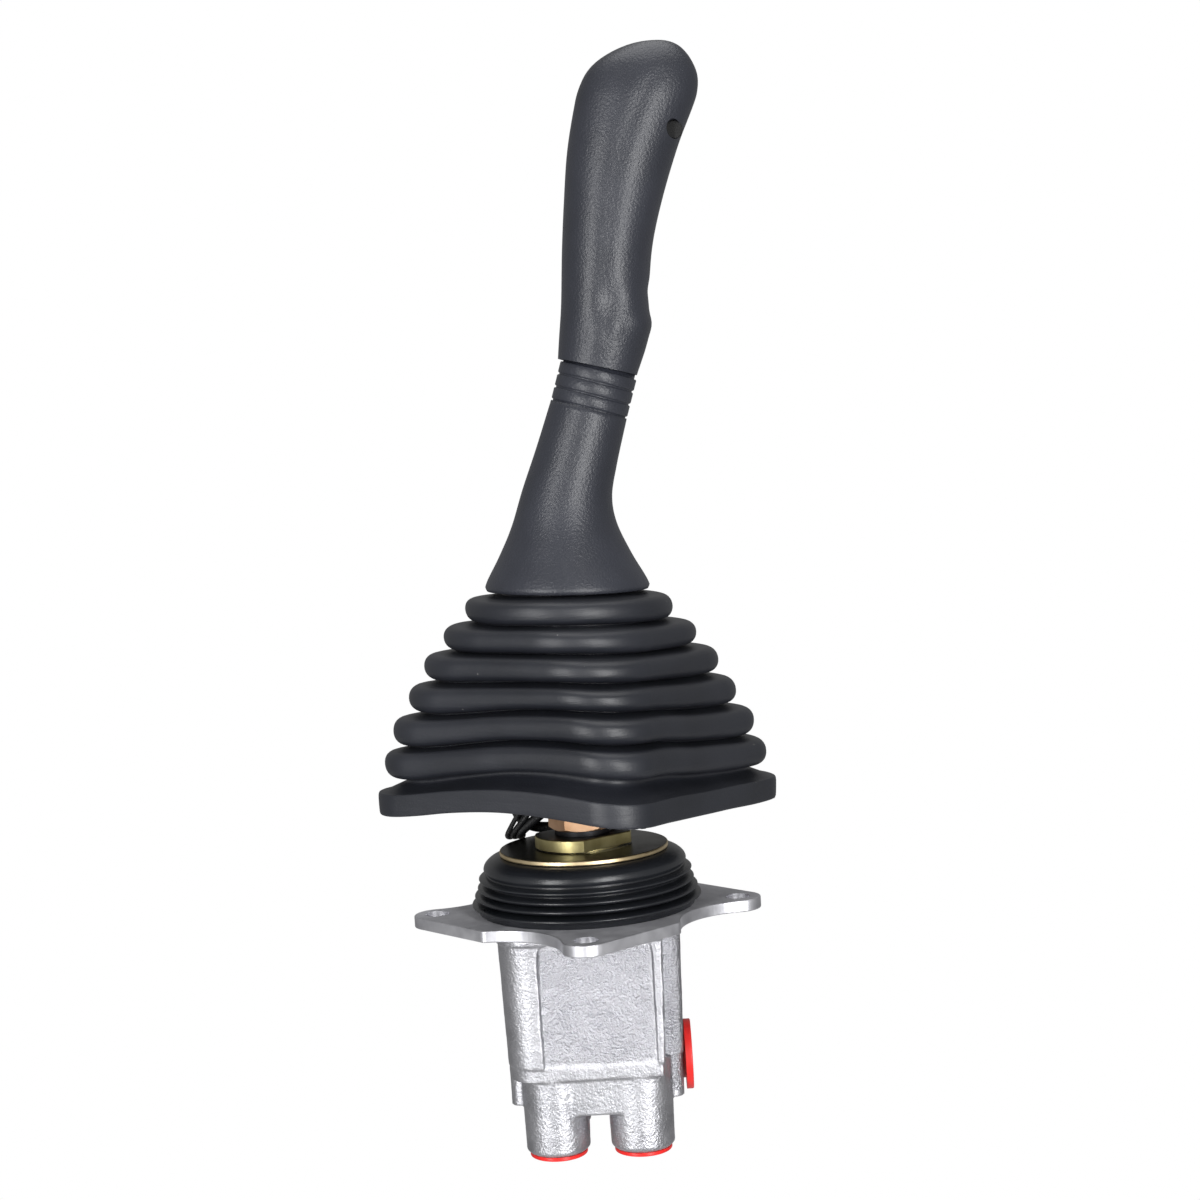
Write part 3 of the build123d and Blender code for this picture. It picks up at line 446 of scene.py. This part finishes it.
def makeCasting():
    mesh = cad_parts["valve_body"].data.copy()
    work = bmesh.new()
    work.from_mesh(mesh)
    bmesh.ops.remove_doubles(work, verts=work.verts, dist=casting["weldMm"] * mm)
    work.to_mesh(mesh)
    work.free()
    obj = linkObject("cast_body", mesh)
    remesh = obj.modifiers.new("voxels", "REMESH")
    remesh.mode = "VOXEL"
    remesh.voxel_size = casting["voxelMm"] * mm * 1
    skin = appliedMesh(obj)
    obj.modifiers.clear()
    obj.data = skin
    skin.shade_smooth()
    skin.materials.clear()
    for material in (castAluminium, milledAluminium, pebbledShadedAluminium):
        skin.materials.append(material)
    normals = [vertex.normal.copy() for vertex in skin.vertices]
    relief = [castRelief(*(vertex.co / mm), normal) for vertex, normal in zip(skin.vertices, normals)]
    for vertex, amount, normal in zip(skin.vertices, relief, normals):
        vertex.co += normal * amount * mm
    left, right, low, high = casting["recess"]
    panelX, panelY, panelLow = casting["sidePanel"]
    for face in skin.polygons:
        x, y, z = face.center / mm
        inRecess = y < casting["frontFace"][0] and left < x < right and low < z < high
        if isMachined(x, y, z, casting["milledFromMm"]):
            face.material_index = 1
        # the recessed panels and the side pad take the darker pebbled copy, whose darker tone is painted
        # shade
        elif inRecess or x > panelX and abs(y) < panelY and z > panelLow:
            face.material_index = 2
    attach(obj, "valve")
    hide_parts("valve_body")


makeCasting()

print("rod boot")

rodBoot = {
    "wall": 1.1, "around": 160, "splitMm": 17.6, "fine": 4,
    "foot": (38.6, 4.3), "footRise": (0.6, 1.2),  # reach and height
    "pleats": [(7.2, 41.0), (10.3, 40.0), (13.2, 39.0), (16.5, 38.3)],  # height and reach
    "pleatShape": [(-1.2, -1.0), (0, -0.1), (-0.9, 0.7)], "valley": (35.2, 1.4),
    "shoulder": (36.2, 20.0), "shoulderShape": [(-0.3, -1.0), (0, 0), (-0.8, 1.7), (-3.0, 3.3)],
    "lip": [(29.1, 24.3), (17.4, 24.3)], "sway": 0.25,
}


# Reach and height along the boot's outside, as a smooth curve through its corners
def bootProfile():
    reach, height = rodBoot["foot"]
    outer = [(reach, height), (reach + rodBoot["footRise"][0], height + rodBoot["footRise"][1])]
    for height, reach in rodBoot["pleats"]:
        outer += [(reach + aside, height + up) for aside, up in rodBoot["pleatShape"]]
        outer.append((rodBoot["valley"][0], height + rodBoot["valley"][1]))
    reach, height = rodBoot["shoulder"]
    outer += [(reach + aside, height + up) for aside, up in rodBoot["shoulderShape"]] + rodBoot["lip"]
    smooth = []
    for a, b, c, d in zip([outer[0]] + outer, outer, outer[1:], outer[2:] + [outer[-1]]):
        for k in range(rodBoot["fine"]):
            t = k / rodBoot["fine"]
            smooth.append(tuple(
                0.5 * (2 * b[i] + (c[i] - a[i]) * t + (2 * a[i] - 5 * b[i] + 4 * c[i] - d[i]) * t * t
                       + (3 * b[i] - a[i] - 3 * c[i] + d[i]) * t ** 3) for i in (0, 1)
            ))
    return smooth + [outer[-1]]


def bootRing(reach, height, thinner=0.0):
    ring = []
    for i in range(rodBoot["around"]):
        turn = 2 * pi * i / rodBoot["around"]
        freely = smoothStep(5, 12, height) * smoothStep(24, 18, height)
        radius = reach + rodBoot["sway"] * sin(2 * turn + height / 3) * freely - thinner
        ring.append((radius * cos(turn) * mm, radius * sin(turn) * mm, height * mm))
    return ring


def makeBoot(name, profile):
    outer = [bootRing(reach, height) for reach, height in profile]
    inner = [[(x, y, z - 0.3 * mm) for x, y, z in bootRing(reach, height, rodBoot["wall"])]
             for reach, height in reversed(profile)]
    return ringObject(name, outer + inner, bootRubber, ends="joined")


profile = bootProfile()
split = min(i for i, point in enumerate(profile) if point[1] > rodBoot["splitMm"])
lowerBoot = makeBoot("boot_lower", profile[:split + 1])
upperBoot = makeBoot("boot_upper", profile[split:])
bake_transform(lowerBoot)
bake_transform(upperBoot)
for piece in (lowerBoot, upperBoot):
    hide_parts("rod_boot")

print("bellows")

bellows = {
    "yaw": -32.5, "sag": 1.6, "fold": 6.5, "wall": 1.7, "around": 80,
    "straight": 0.3,  # share of each quarter's points on each straight run
    "ribs": [  # height, side, corner radius, thickness
        (44.9, 111.2, 16.0, 7.8), (58.3, 108.2, 18.0, 9.6), (69.5, 103.8, 20.0, 9.4), (80.8, 96.7, 23.0, 9.2),
        (91.6, 89.9, 26.0, 8.8), (101.5, 80.7, 29.0, 8.4), (111.2, 73.4, 36.6, 8.4),
        (118.4, 55.0, 27.0, 0.0),
    ],
    "cornerLoss": 3, "rimInsets": (8.0, 4.0, 1.8),
    "rimEdge": (0.25, 0.42, 1.6, 3.0),  # squareness out and up, reach of the rounding, climb inwards
    "ribEdge": (0.85, 0.92, 4.2, 1.8), "edgeSteps": 16,
    "neck": [  # reach and height
        (23.6, 114.6), (23.0, 116.0), (23.0, 118.0), (26.3, 118.5), (26.3, 120.2), (23.3, 120.4),
        (8.0, 120.4),
    ],
    "warp": [  # turn and height of the sagging folds
        (-198, 0.3), (-162, 0.8), (-140, 3.6), (-117, 5.1), (-98, 4.5), (-76, 1.9), (-50, 0.5), (-27, -0.4),
        (14, -2.4), (63, 0.0), (108, 0.0), (162, 0.3),
    ],
    "nearLift": [  # height and lift of the front corner
        (42.0, 0.6), (49.0, 1.2), (53.5, 3.6), (69.5, 3.6), (80.8, 2.4), (91.6, 1.0), (112.0, 0.4),
    ],
    "nearCorner": -77.5, "nearSpread": 42.0, "tipLift": (0.5, 0.016),
    "ripple": (0.5, 26, 18), "swell": (0.006, 30, 9, 40),  # size, widths across and up, shift of the noise
    "lift": (112, 44), "tipRange": (44, 108), "neckFade": (120, 112),  # heights between which each one grows
}


# A point a share t of the way round a quarter of a rounded square
def squarePoint(t, half, corner):
    straight = bellows["straight"]
    if t < straight:
        return half, (half - corner) * t / straight
    if t < 1 - straight:
        arc = (t - straight) / (1 - 2 * straight) * pi / 2
        return half - corner + corner * cos(arc), half - corner + corner * sin(arc)
    return (half - corner) * (1 - t) / straight, half


# Rounded square of the bellows, turned, tilted and sagging as soft rubber does
def squareRing(half, corner, height):
    ring = []
    firstTurn = bellows["warp"][0][0]
    corner = min(corner, half - 0.01)
    sag = radians(bellows["sag"])
    lift = smoothStep(*bellows["lift"], height)
    tipUp, tipSlope = bellows["tipLift"]
    rippleSize, rippleWide, rippleTall = bellows["ripple"]
    swellSize, swellWide, swellTall, swellShift = bellows["swell"]
    for quarter in range(4):
        turn = quarter * pi / 2 + radians(bellows["yaw"])
        for i in range(bellows["around"]):
            x, y = squarePoint(i / bellows["around"], half, corner)
            x, y = x * cos(turn) - y * sin(turn), x * sin(turn) + y * cos(turn)
            angle = (degrees(atan2(y, x)) - firstTurn) % 360 + firstTurn
            near = exp(-((angle - bellows["nearCorner"]) / bellows["nearSpread"]) ** 2)
            bend = tableAt(bellows["warp"], angle)[0] * lift + near * tableAt(bellows["nearLift"], height)[0]
            bend += smoothStep(*bellows["neckFade"], height) * (
                tipUp - x * tipSlope * smoothStep(*bellows["tipRange"], height)
            )
            ripple = rippleSize * noise.noise(Vector((x / rippleWide, y / rippleWide, height / rippleTall)))
            swell = 1 + swellSize * noise.noise(
                Vector((x / swellWide, y / swellWide, height / swellTall + swellShift))
            )
            ring.append((x * swell * cos(sag) * mm, y * swell * mm,
                         (height - x * sin(sag) + bend + ripple * min(half / 50, 1)) * mm))
    return ring


def makeBellows():
    ribs = bellows["ribs"]
    rimHeight, rimSide, rimCorner, rimThick = ribs[0]
    rings = [squareRing(rimSide / 2 - inset, rimCorner - min(inset, 4), rimHeight - rimThick / 2)
             for inset in bellows["rimInsets"]]
    for rib, upper in zip(ribs, ribs[1:]):
        height, side, corner, thick = rib
        boxy, flat, crown, climb = bellows["rimEdge" if rib == ribs[0] else "ribEdge"]
        for i in range(bellows["edgeSteps"] + 1):
            turn = -pi / 2 + pi * i / bellows["edgeSteps"]
            up = abs(sin(turn)) ** flat * (1 if turn > 0 else -1) * thick / 2
            inset = crown * (1 - max(cos(turn), 0) ** boxy)
            rings.append(squareRing(side / 2 - inset, corner - inset * 0.5, height + up))
        high = upper[0] - upper[3] / 2
        gap = high - height - thick / 2
        low = height + thick / 2 + min(gap * 0.6, climb)
        inner = min(side, upper[1]) / 2 - bellows["fold"]
        innerCorner = min(corner, upper[2]) - bellows["cornerLoss"]
        rings.append(squareRing(inner + 1.2, innerCorner + 0.6, low - 0.1))
        for t in (0.2, 0.5, 0.8):
            rings.append(squareRing(inner, innerCorner, low + (high - low) * t))
        rings.append(squareRing(inner + 1.0, innerCorner + 0.5, high - 0.05))
    rings += [squareRing(reach, reach, height) for reach, height in bellows["neck"]]
    obj = ringObject("bellows_skin", rings, bellowsRubber, ends="open")
    wall = obj.modifiers.new("wall", "SOLIDIFY")
    wall.thickness = bellows["wall"] * mm
    wall.offset = -1
    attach(obj, "lever")
    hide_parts("bellows")


makeBellows()

print("cover and collar")

cover = {
    "sections": [  # height, middle x, radius, lean
        (118.0, 0.0, 29.6, 2.3), (121.5, 0.0, 28.3, 2.3), (130.0, 0.0, 23.6, 2.0), (141.0, 0.3, 18.6, 2.0),
        (152.0, 2.0, 15.9, 8.0), (164.0, 5.8, 14.6, 14.0), (180.9, 11.4, 13.75, 17.5),
    ],
    "edgeHeights": [118.0, 118.25, 118.7, 119.4, 120.2, 121.5], "edge": 1.1, "edgeFade": (119.4, 117.7),
    "wall": 2.0, "around": 128, "steps": 40,
}
collar = {
    "foot": (11.4, 180.9), "lean": 17.5, "reach": 13.75, "length": 14.0, "bore": 10.0,
    "grooves": 3, "grooveDeep": 0.6, "grooveWide": 0.75, "neckReach": 12.9, "neckRise": 2.5,
}


# Ring round a leaning middle line
def leanRing(x, height, reach, lean):
    lean = radians(lean)
    ring = []
    for i in range(cover["around"]):
        turn = 2 * pi * i / cover["around"]
        side = reach * cos(turn)
        ring.append(((x + side * cos(lean)) * mm, reach * sin(turn) * mm, (height - side * sin(lean)) * mm))
    return ring


def makeCover():
    start, end = cover["edgeHeights"][-1], cover["sections"][-1][0]
    heights = cover["edgeHeights"] + [start + k * (end - start) / cover["steps"]
                                      for k in range(1, cover["steps"] + 1)]
    outer, inner = [], []
    for height in heights:
        x, reach, lean = tableAt(cover["sections"], height)
        rounding = cover["edge"] * smoothStep(*cover["edgeFade"], height)
        outer.append(leanRing(x, height, reach - rounding, lean))
        inner.insert(0, leanRing(x, height + 0.2, reach - cover["wall"], lean))
    obj = ringObject("cover_shell", outer + inner, gripVinyl, ends="joined")
    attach(obj, "lever")
    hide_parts("lever_cover")


def makeCollar():
    lean = radians(collar["lean"])
    footX, footHeight = collar["foot"]
    reach, length, deep, wide = (collar[key] for key in ("reach", "length", "grooveDeep", "grooveWide"))
    profile = [(reach - 0.6, 0.05)]
    pitch = length / collar["grooves"]
    for k in range(collar["grooves"]):
        start = k * pitch
        end = start + pitch
        profile += [
            (reach - deep, start + 0.1), (reach - deep, start + wide - 0.2), (reach - 0.2, start + wide),
            (reach, start + wide + 0.3), (reach, end - 0.3), (reach - 0.25, end - 0.05),
        ]
    top = length + collar["neckRise"]
    profile += [(collar["neckReach"], length), (collar["neckReach"], top), (collar["bore"], top),
                (collar["bore"], 0.05)]
    rings = [leanRing(footX + up * sin(lean), footHeight + up * cos(lean), radius, collar["lean"])
             for radius, up in profile]
    obj = ringObject("collar_ring", rings, gripVinyl, ends="joined")
    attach(obj, "lever")
    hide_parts("grip_collar")


makeCover()
makeCollar()

print("grip")

grip = {
    "sections": [  # way along, left x, left height, right x, right height, depth
        (0.0, 1.6, 199.2, 29.0, 191.8, 28.0), (9.0, 2.4, 206.0, 33.4, 203.5, 31.0),
        (20.0, 3.8, 217.2, 34.5, 214.8, 32.4), (40.0, 5.3, 236.2, 36.8, 234.8, 33.0),
        (56.0, 6.9, 252.0, 41.0, 250.8, 33.0), (75.0, 9.3, 270.8, 48.0, 270.3, 32.0),
        (93.0, 13.2, 288.0, 55.0, 286.0, 29.4), (98.0, 14.9, 292.6, 56.1, 290.5, 27.6),
        (103.0, 17.4, 297.0, 56.1, 294.4, 25.0), (108.0, 20.8, 300.4, 55.0, 298.0, 22.0),
        (113.0, 25.6, 303.3, 52.9, 301.8, 17.5), (117.0, 30.8, 305.4, 50.0, 304.8, 12.5),
        (120.0, 36.0, 306.6, 46.2, 306.5, 7.0), (121.5, 41.0, 307.0, 42.0, 307.0, 0.8),
    ],
    "around": 192, "rows": 130, "power": 2.15, "lip": (3.0, 0.8),
    "hole": (2.6, 3.3), "holePast": 2.3, "drill": 30,  # half width and height; way past the button
    "dimples": [  # across from -1 to 1, height, spread across, spread in height, depth
        (0.15, 217.5, 0.30, 5.0, -1.3), (0.85, 209.5, 0.35, 4.0, 1.3), (0.95, 221.0, 0.3, 3.5, -0.6),
        (0.25, 208.0, 0.16, 3.2, 0.5), (-0.15, 205.0, 0.2, 3.5, 0.4),
    ],
    "valley": [  # height, middle x, depth
        (212.0, 16.0, 0.0), (226.0, 19.0, 0.25), (243.5, 22.3, 0.3), (253.7, 24.0, 0.3), (263.8, 25.9, 0.3),
        (288.9, 37.7, 0.3), (297.0, 44.0, 0.0),
    ],
    "valleyWide": 3.4,
}


# A point on a grip section: a fat oval between its left and right, with dimples on the front
def gripPoint(row, turn, inset=0.0):
    leftX, leftZ, rightX, rightZ, depth = row
    middle = Vector(((leftX + rightX) / 2, 0, (leftZ + rightZ) / 2))
    across = Vector(((rightX - leftX) / 2, 0, (rightZ - leftZ) / 2))
    half = across.length
    c, s = cos(turn), sin(turn)
    bulge = (abs(c) ** grip["power"] + abs(s) ** grip["power"]) ** (-1 / grip["power"])
    u, v = c * bulge, s * bulge
    x, z = middle.x + across.x * u, middle.z + across.z * u
    swell = 0.0
    if v < 0 or abs(u) > 0.9:  # the front and the two edges
        for place, level, spreadU, spreadZ, amount in grip["dimples"]:
            swell += amount * exp(-((u - place) / spreadU) ** 2 - ((z - level) / spreadZ) ** 2)
    if v < 0:
        valleyX, valleyDeep = tableAt(grip["valley"], z)
        swell -= valleyDeep * exp(-((x - valleyX) / grip["valleyWide"]) ** 2)
    scale = (half + swell - inset) / half
    deep = (depth / 2 + swell - inset) / (depth / 2)
    spot = middle + across * u * scale + Vector((0, v * depth / 2 * deep, 0))
    return tuple(spot * mm)


def gripRing(row, inset=0.0):
    return [gripPoint(row, 2 * pi * i / grip["around"], inset) for i in range(grip["around"])]


def makeGrip():
    way = grip["sections"][-1][0]
    rows = [tableAt(grip["sections"], way * (1 - (1 - i / grip["rows"]) ** 1.5))  # closer rows at the top
            for i in range(grip["rows"] + 1)]
    rings = [gripRing(rows[0], inset) for inset in grip["lip"]] + [gripRing(row) for row in rows]
    obj = ringObject("grip_shell", rings, gripVinyl)
    low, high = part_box("horn_button")
    bpy.ops.mesh.primitive_cylinder_add(
        vertices=48, radius=mm, depth=grip["drill"] * mm, rotation=(pi / 2, 0, 0),
        location=((low[0] + high[0]) / 2, high[1] + (grip["holePast"] - grip["drill"] / 2) * mm,
                  (low[2] + high[2]) / 2),
    )
    drill = bpy.context.object
    drill.scale = (*grip["hole"], 1)
    cut = obj.modifiers.new("hole", "BOOLEAN")
    cut.object = drill
    cut.solver = "EXACT"
    bored = appliedMesh(obj)
    obj.modifiers.clear()
    obj.data = bored
    bored.set_sharp_from_angle(angle=radians(50))
    bpy.data.objects.remove(drill)
    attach(obj, "lever")
    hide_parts("grip")


makeGrip()

print("lead")

lead = {
    "size": 4.0, "length": 120.7,
    "strands": [  # thickness and points
        (3.6, [(-4.0, 6.0, 60.0), (-7.0, 10.0, 48.0), (-12.5, 13.0, 37.5), (-20.0, 17.0, 31.5),
               (-24.6, 19.6, 27.4), (-23.0, 22.6, 27.0)]),
        (2.2, [(-7.0, 6.0, 61.0), (-12.0, 10.0, 49.0), (-18.5, 13.4, 37.5), (-24.0, 16.6, 30.8),
               (-27.0, 19.2, 26.8), (-25.0, 22.6, 26.4)]),
        (1.8, [(-10.0, 6.0, 62.0), (-17.0, 10.0, 50.0), (-22.5, 13.6, 37.5), (-26.6, 16.8, 30.8),
               (-28.8, 19.4, 26.6), (-27.0, 22.6, 26.2)]),
    ],
    "route": [
        (-5.5, 3.2, 66.0), (-15.0, 8.7, 63.5), (-23.0, 14.0, 55.5), (-25.0, 18.0, 44.5), (-24.5, 21.5, 34.5),
        (-19.0, 25.0, 28.8), (-8.0, 26.0, 28.3), (3.5, 25.0, 30.0), (13.0, 22.5, 35.0), (18.8, 19.7, 44.0),
        (20.0, 17.0, 55.5), (19.0, 14.0, 66.0),
    ],
}


def makeCurve(name, points, size, material):
    curve = bpy.data.curves.new(name, "CURVE")
    curve.dimensions = "3D"
    spline = curve.splines.new("NURBS")
    spline.points.add(len(points) - 1)
    for point, (x, y, z) in zip(spline.points, points):
        point.co = (x * mm, y * mm, z * mm, 1)
    spline.order_u = 3
    spline.use_endpoint_u = True
    spline.resolution_u = 24
    curve.bevel_depth = size / 2 * mm
    curve.bevel_resolution = 6
    curve.use_fill_caps = True
    curve.materials.append(material)
    obj = linkObject(name, curve)
    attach(obj, "lever")
    return obj


def makeLead():
    obj = makeCurve("sleeved_lead", lead["route"], lead["size"], sleeveVinyl)
    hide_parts("lead")
    for number, (size, points) in enumerate(lead["strands"], 1):
        makeCurve(f"lead_strand_{number}", points, size, sleeveVinyl)


makeLead()

print("springs")

springs = {
    "returnWire": 0.1, "meteringWire": 0.12,  # wire as a share of the coil's width
    "pitch": 2.2, "leastTurns": 3, "steps": 24,  # pitch in wires; steps in a turn
}


# Coil in the box of a CAD spring; one with a seat keeps its place with its transform baked in, the others
# ride their body
def makeCoil(node, body, seat, material, wireShare):
    low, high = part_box(node)
    middle = [(a + b) / 2 for a, b in zip(low, high)]
    wide = high[0] - low[0]
    wire = wide * wireShare
    reach = (wide - wire) / 2
    turns = max(int((high[2] - low[2]) / (wire * springs["pitch"])), springs["leastTurns"])
    steps = turns * springs["steps"]
    curve = bpy.data.curves.new(f"{node}_coil", "CURVE")
    curve.dimensions = "3D"
    spline = curve.splines.new("POLY")
    spline.points.add(steps)
    for i, point in enumerate(spline.points):
        turn = 2 * pi * turns * i / steps
        rise = low[2] + wire / 2 + (high[2] - low[2] - wire) * i / steps
        point.co = (middle[0] + reach * cos(turn), middle[1] + reach * sin(turn), rise, 1)
    curve.bevel_depth = wire / 2
    curve.bevel_resolution = 3
    curve.use_fill_caps = True
    curve.materials.append(material)
    wound = linkObject(f"{node}_curve", curve)
    skin = appliedMesh(wound)
    bpy.data.objects.remove(wound)
    obj = linkObject(f"{node}_coil", skin)
    if seat:
        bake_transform(obj)
    else:
        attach(obj, body)
    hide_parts(node)


for number in range(1, 5):
    pusher = f"pusher_{number}"
    makeCoil(f"return_spring_{number}", "valve", pusher, oiledSpringSteel, springs["returnWire"])
    makeCoil(f"metering_spring_{number}", pusher, None, oiledSpringSteel, springs["meteringWire"])

print("stage and camera")

stage = {"size": 12, "height": -1.2, "colour": "#E9E9E9", "world": 0.28}
lamps = {  # place, aim, size, power
    "left_softbox": ((-0.66, -0.92, 0.12), (0, 0, 0.08), (0.16, 1.3), 12),
    "right_softbox": ((0.54, -1.12, 0.12), (0, 0, 0.08), (0.14, 1.3), 18),
    "top_softbox": ((0.1, 0.1, 1.2), (0, 0, 0.1), (0.9, 0.9), 6),
}
view = {
    "lens": 66.2, "sensor": 36, "eye": (0.0177, -0.780, 0.176), "aim": (0.0112, 0.0, 0.1134), "roll": -3.5,
}


def makeFloor():
    bpy.ops.mesh.primitive_plane_add(size=stage["size"], location=(0, 0, stage["height"]))
    floor = bpy.context.object
    floor.name = "paper_floor"
    paper, tree, shader = startMaterial(
        "white_paper_sweep", Base_Color=srgb(stage["colour"]), Specular_IOR_Level=0.1, Roughness=0.9,
    )[:3]
    rays = addNode(tree, "ShaderNodeLightPath")
    glow = addNode(tree, "ShaderNodeEmission", {"Color": white, "Strength": 1.0})
    pick = addNode(tree, "ShaderNodeMixShader", links={
        0: rays.outputs["Is Camera Ray"], 1: shader.outputs["BSDF"], 2: glow.outputs["Emission"],
    })
    tree.links.new(pick.outputs["Shader"], tree.nodes["Material Output"].inputs["Surface"])
    floor.data.materials.append(paper)


def addLamp(name, place, aim, size, power):
    lamp = bpy.data.lights.new(name, "AREA")
    lamp.shape = "RECTANGLE"
    lamp.size, lamp.size_y = size
    lamp.energy = power
    obj = linkObject(name, lamp)
    obj.location = place
    obj.rotation_euler = (Vector(aim) - Vector(place)).to_track_quat("-Z", "Y").to_euler()


def makeWorld():
    world = bpy.data.worlds.new("studio")
    world.use_nodes = True
    tree = world.node_tree
    background = tree.nodes["Background"]
    background.inputs["Color"].default_value = white
    rays = addNode(tree, "ShaderNodeLightPath")
    level = addNode(tree, "ShaderNodeMapRange", {"To Min": stage["world"], "To Max": 1.0},
                    {"Value": rays.outputs["Is Camera Ray"]})
    tree.links.new(level.outputs["Result"], background.inputs["Strength"])
    bpy.context.scene.world = world


def makeCamera():
    lens = bpy.data.cameras.new("camera")
    lens.lens = view["lens"]
    lens.sensor_width = view["sensor"]
    camera = linkObject("camera", lens)
    camera.location = view["eye"]
    camera.rotation_mode = "QUATERNION"
    aim = (Vector(view["aim"]) - Vector(view["eye"])).to_track_quat("-Z", "Y")
    camera.rotation_quaternion = aim @ Quaternion((0, 0, 1), radians(view["roll"]))
    bpy.context.scene.camera = camera


makeFloor()
for name, settings in lamps.items():
    addLamp(name, *settings)
makeWorld()
makeCamera()
bpy.context.scene.view_settings.view_transform = "Standard"
